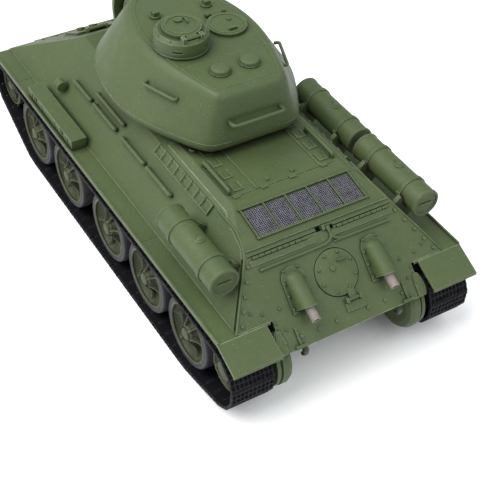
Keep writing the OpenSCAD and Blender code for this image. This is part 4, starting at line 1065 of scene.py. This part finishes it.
# hinge ears of the loader's hatch
for y in (3.6, -5.2):
    s.prism([(-1, 0), (1, 0), (1, 1.4), (0.5, 2.1), (-0.5, 2.1), (-1, 1.4)], -0.8, 0.8,
            move(-19.4, -13.5 + y + 0.8, ROOF) @ rot("X", 90))
# periscope heads with their hoods
for x, y in ((-8, 12), (-10, -14)):
    m = move(x, y, ROOF)
    s.lathe([(2.7, -0.1), (2.7, 0.7), (2.4, 1.0), (0, 1.0)], 28, m)
    s.prism([(-1.6, 0.9), (1.6, 0.9), (1.6, 2.2), (0.9, 3.0), (-1.6, 3.0)], -1.5, 1.5, m @ rot("X", 90))
s.make("turret_details", "turret", m_detail, ["turret_fittings"], bevel=0.12)

s = Shape()
for x, y in ((-8, 12), (-10, -14)):
    s.box((x + 1.55, y - 1.15, ROOF + 1.25), (x + 1.66, y + 1.15, ROOF + 2.05))
s.make("turret_glass", "turret", m_glass, slot="mesh_metal")

# ---- gun and hatches -------------------------------------------------------------
s = Shape()
g = move(14, 0, 85)
for a in (-24, 24):
    for y in (-12.6, -8, 8, 12.6):
        s.dome(0.75, 0.8, g @ rot("Y", a) @ move(17.8, y, 0) @ rot("Y", 90))
for y in (-12.6, 12.6):
    s.dome(0.75, 0.8, g @ move(17.8, y, 0) @ rot("Y", 90))
# co-axial port and sight port beside the sleeve
for y, r in ((-6.2, 1.5), (5.4, 1.2)):
    s.lathe([(r, 15), (r, 18.1), (r - 0.45, 18.4), (r - 0.6, 18.1), (r - 0.65, 16), (0, 16)], 24,
        g @ move(0, y * 1.85, 1.2) @ rot("Y", 90))
s.lathe([(9.0, 17.6), (9.35, 17.7), (9.35, 18.5), (9.0, 18.6)], 64, g @ rot("Y", 90))
s.lathe([(6.6, 31.4), (6.95, 31.5), (6.95, 31.9), (6.4, 32.0)], 64, g @ rot("Y", 90))
s.make("mantlet_fittings", "gun", m_detail, bevel=0.05)

s = Shape()
c = move(-34, 12.5, ROOF + 0.3)
for k in range(10):
    s.dome(0.55, 0.6, c @ rot("Z", 36 * k + 18) @ move(11.5, 0, 7.75), 10)
s.lathe([(12.5, 0.1), (12.85, 0.2), (12.85, 0.8), (12.5, 0.95)], 96, c)
s.make("cupola_fittings", "cupola_ring", m_detail)
s = Shape()
for k in range(5):
    s.box((11.6, -2.1, 3.1), (11.8, 2.1, 3.9), c @ rot("Z", 72 * k))
s.make("cupola_glass", "cupola_ring", m_glass, slot="mesh_metal")
s = Shape()
s.lathe([(7.6, 1.5), (7.5, 1.75), (7.1, 1.8), (7.0, 1.55)], 64, move(-34, 12.5, ROOF + 8.9))
s.tube(arc_path([(2, -3.2, 1.4), (2, -3.2, 2.6), (6, -3.2, 2.6), (6, -3.2, 1.4)], 0.8), 0.35,
    move(-36, 12.5, ROOF + 8.9), 8)
s.make("cupola_lid_fittings", "cupola_lid", m_detail)
s = Shape()
s.lathe([(8.2, 1.4), (8.1, 1.62), (7.7, 1.68), (7.6, 1.45)], 64, move(-30, -13.5, ROOF + 0.1))
s.dome(1.1, 0.9, move(-27.5, -16, ROOF + 1.5), 16)
s.make("loader_lid_fittings", "loader_lid", m_detail)

# ---- front of the hull -------------------------------------------------------------
s = Shape()
for sg in (1, -1):
    # tow hooks and the weld between glacis and nose
    hook = [(80.0, 36.5), (84.6, 38.6), (85.3, 36.4), (84.2, 33.6), (82.4, 33.2), (82.0, 34.4),
        (83.3, 35.0), (83.0, 36.4), (80.6, 34.8)]
    s.prism(hook, -1.3, 1.3, move(0, sg * 23, -3) @ rot("X", 90))
    for k in range(5):
        s.dome(0.7, 0.7, GLACIS @ move(44 + 0.3 * k, sg * (5 + 7.5 * k), 0))
s.tube([(79.8, -34, 43.9), (79.8, 34, 43.9)], 0.5, seg=8)
# splash rails on the glacis and the frame of the driver's hatch
s.tube([(40, -1.5, 67.6), (71, -20, 49.7)], 0.55, seg=8)
for a, b in (((12.2, 5.3), (12.2, 9.0)), ((32.8, 5.3), (32.8, 27.6)), ((12.2, 5.2), (32.8, 5.2)),
    ((12.2, 27.6), (32.8, 27.6))):
    s.tube([(*a, 0.1), (*b, 0.1)], 0.4, GLACIS, 8)
# bolts round the bow gun
for k in range(8):
    s.dome(0.5, 0.55, GLACIS @ move(19, -18, 0.9) @ rot("Z", 45 * k + 22) @ move(4.0, 0, 0), 10)
s.make("glacis_fittings", "hull", m_detail, bevel=0.1)
s = Shape()
lamp = FLANK @ move(24 + 2.4, 18.6, 3.2) @ rot("Y", 90)
s.lathe([(2.15, -0.4), (1.9, 0.15), (1.2, 0.45), (0, 0.55)], 32, lamp)
s.make("headlight_glass", "hull", m_glass, slot="mesh_metal")
# lids and straps of the side box
s = Shape()
for x in (-9.5, 5, 20, 31.5):
    s.box((x, 60.55, 44.4), (x + 0.9, 60.85, 49.0))
for x in (-4, 26):
    s.lathe([(0.5, 0), (0.5, 0.5), (0.3, 0.7), (0, 0.7)], 12, move(x + 1.5, 61.1, 48.0) @ rot("X", -90))
s.make("box_fittings", "hull", m_detail, bevel=0.06)

# ---- materials on the CAD nodes that stay ------------------------------------------
for name, mat in (
    ("lower_hull", m_hull), ("upper_hull", m_hull), ("engine_deck", m_hull), ("rear_plate", m_hull),
        ("battery_cover", m_belly),
    ("side_louvres", m_detail), ("fenders", m_hull), ("mud_flaps", m_hull), ("drum_brackets", m_detail),
        ("toolbox", m_detail),
    ("headlight", m_detail), ("bow_gun", m_detail), ("axle_arms", m_wheel), ("final_drives", m_hull),
        ("battery_pack", m_wrap),
    ("control_board", m_board), ("drive_units", m_steel), ("screws", m_steel),
        ("driver_hatch", m_detail),
    ("turret_fittings", m_detail), ("gun_mantlet", m_cast), ("gun_barrel", m_hull), ("cupola", m_cast),
        ("cupola_hatch", m_detail),
    ("loader_hatch", m_detail), ("turret_shell", m_cast)):
    me = nodes[name].data
    me.materials.clear()
    me.materials.append(mat)
    me.polygons.foreach_set("material_index", [0] * len(me.polygons))
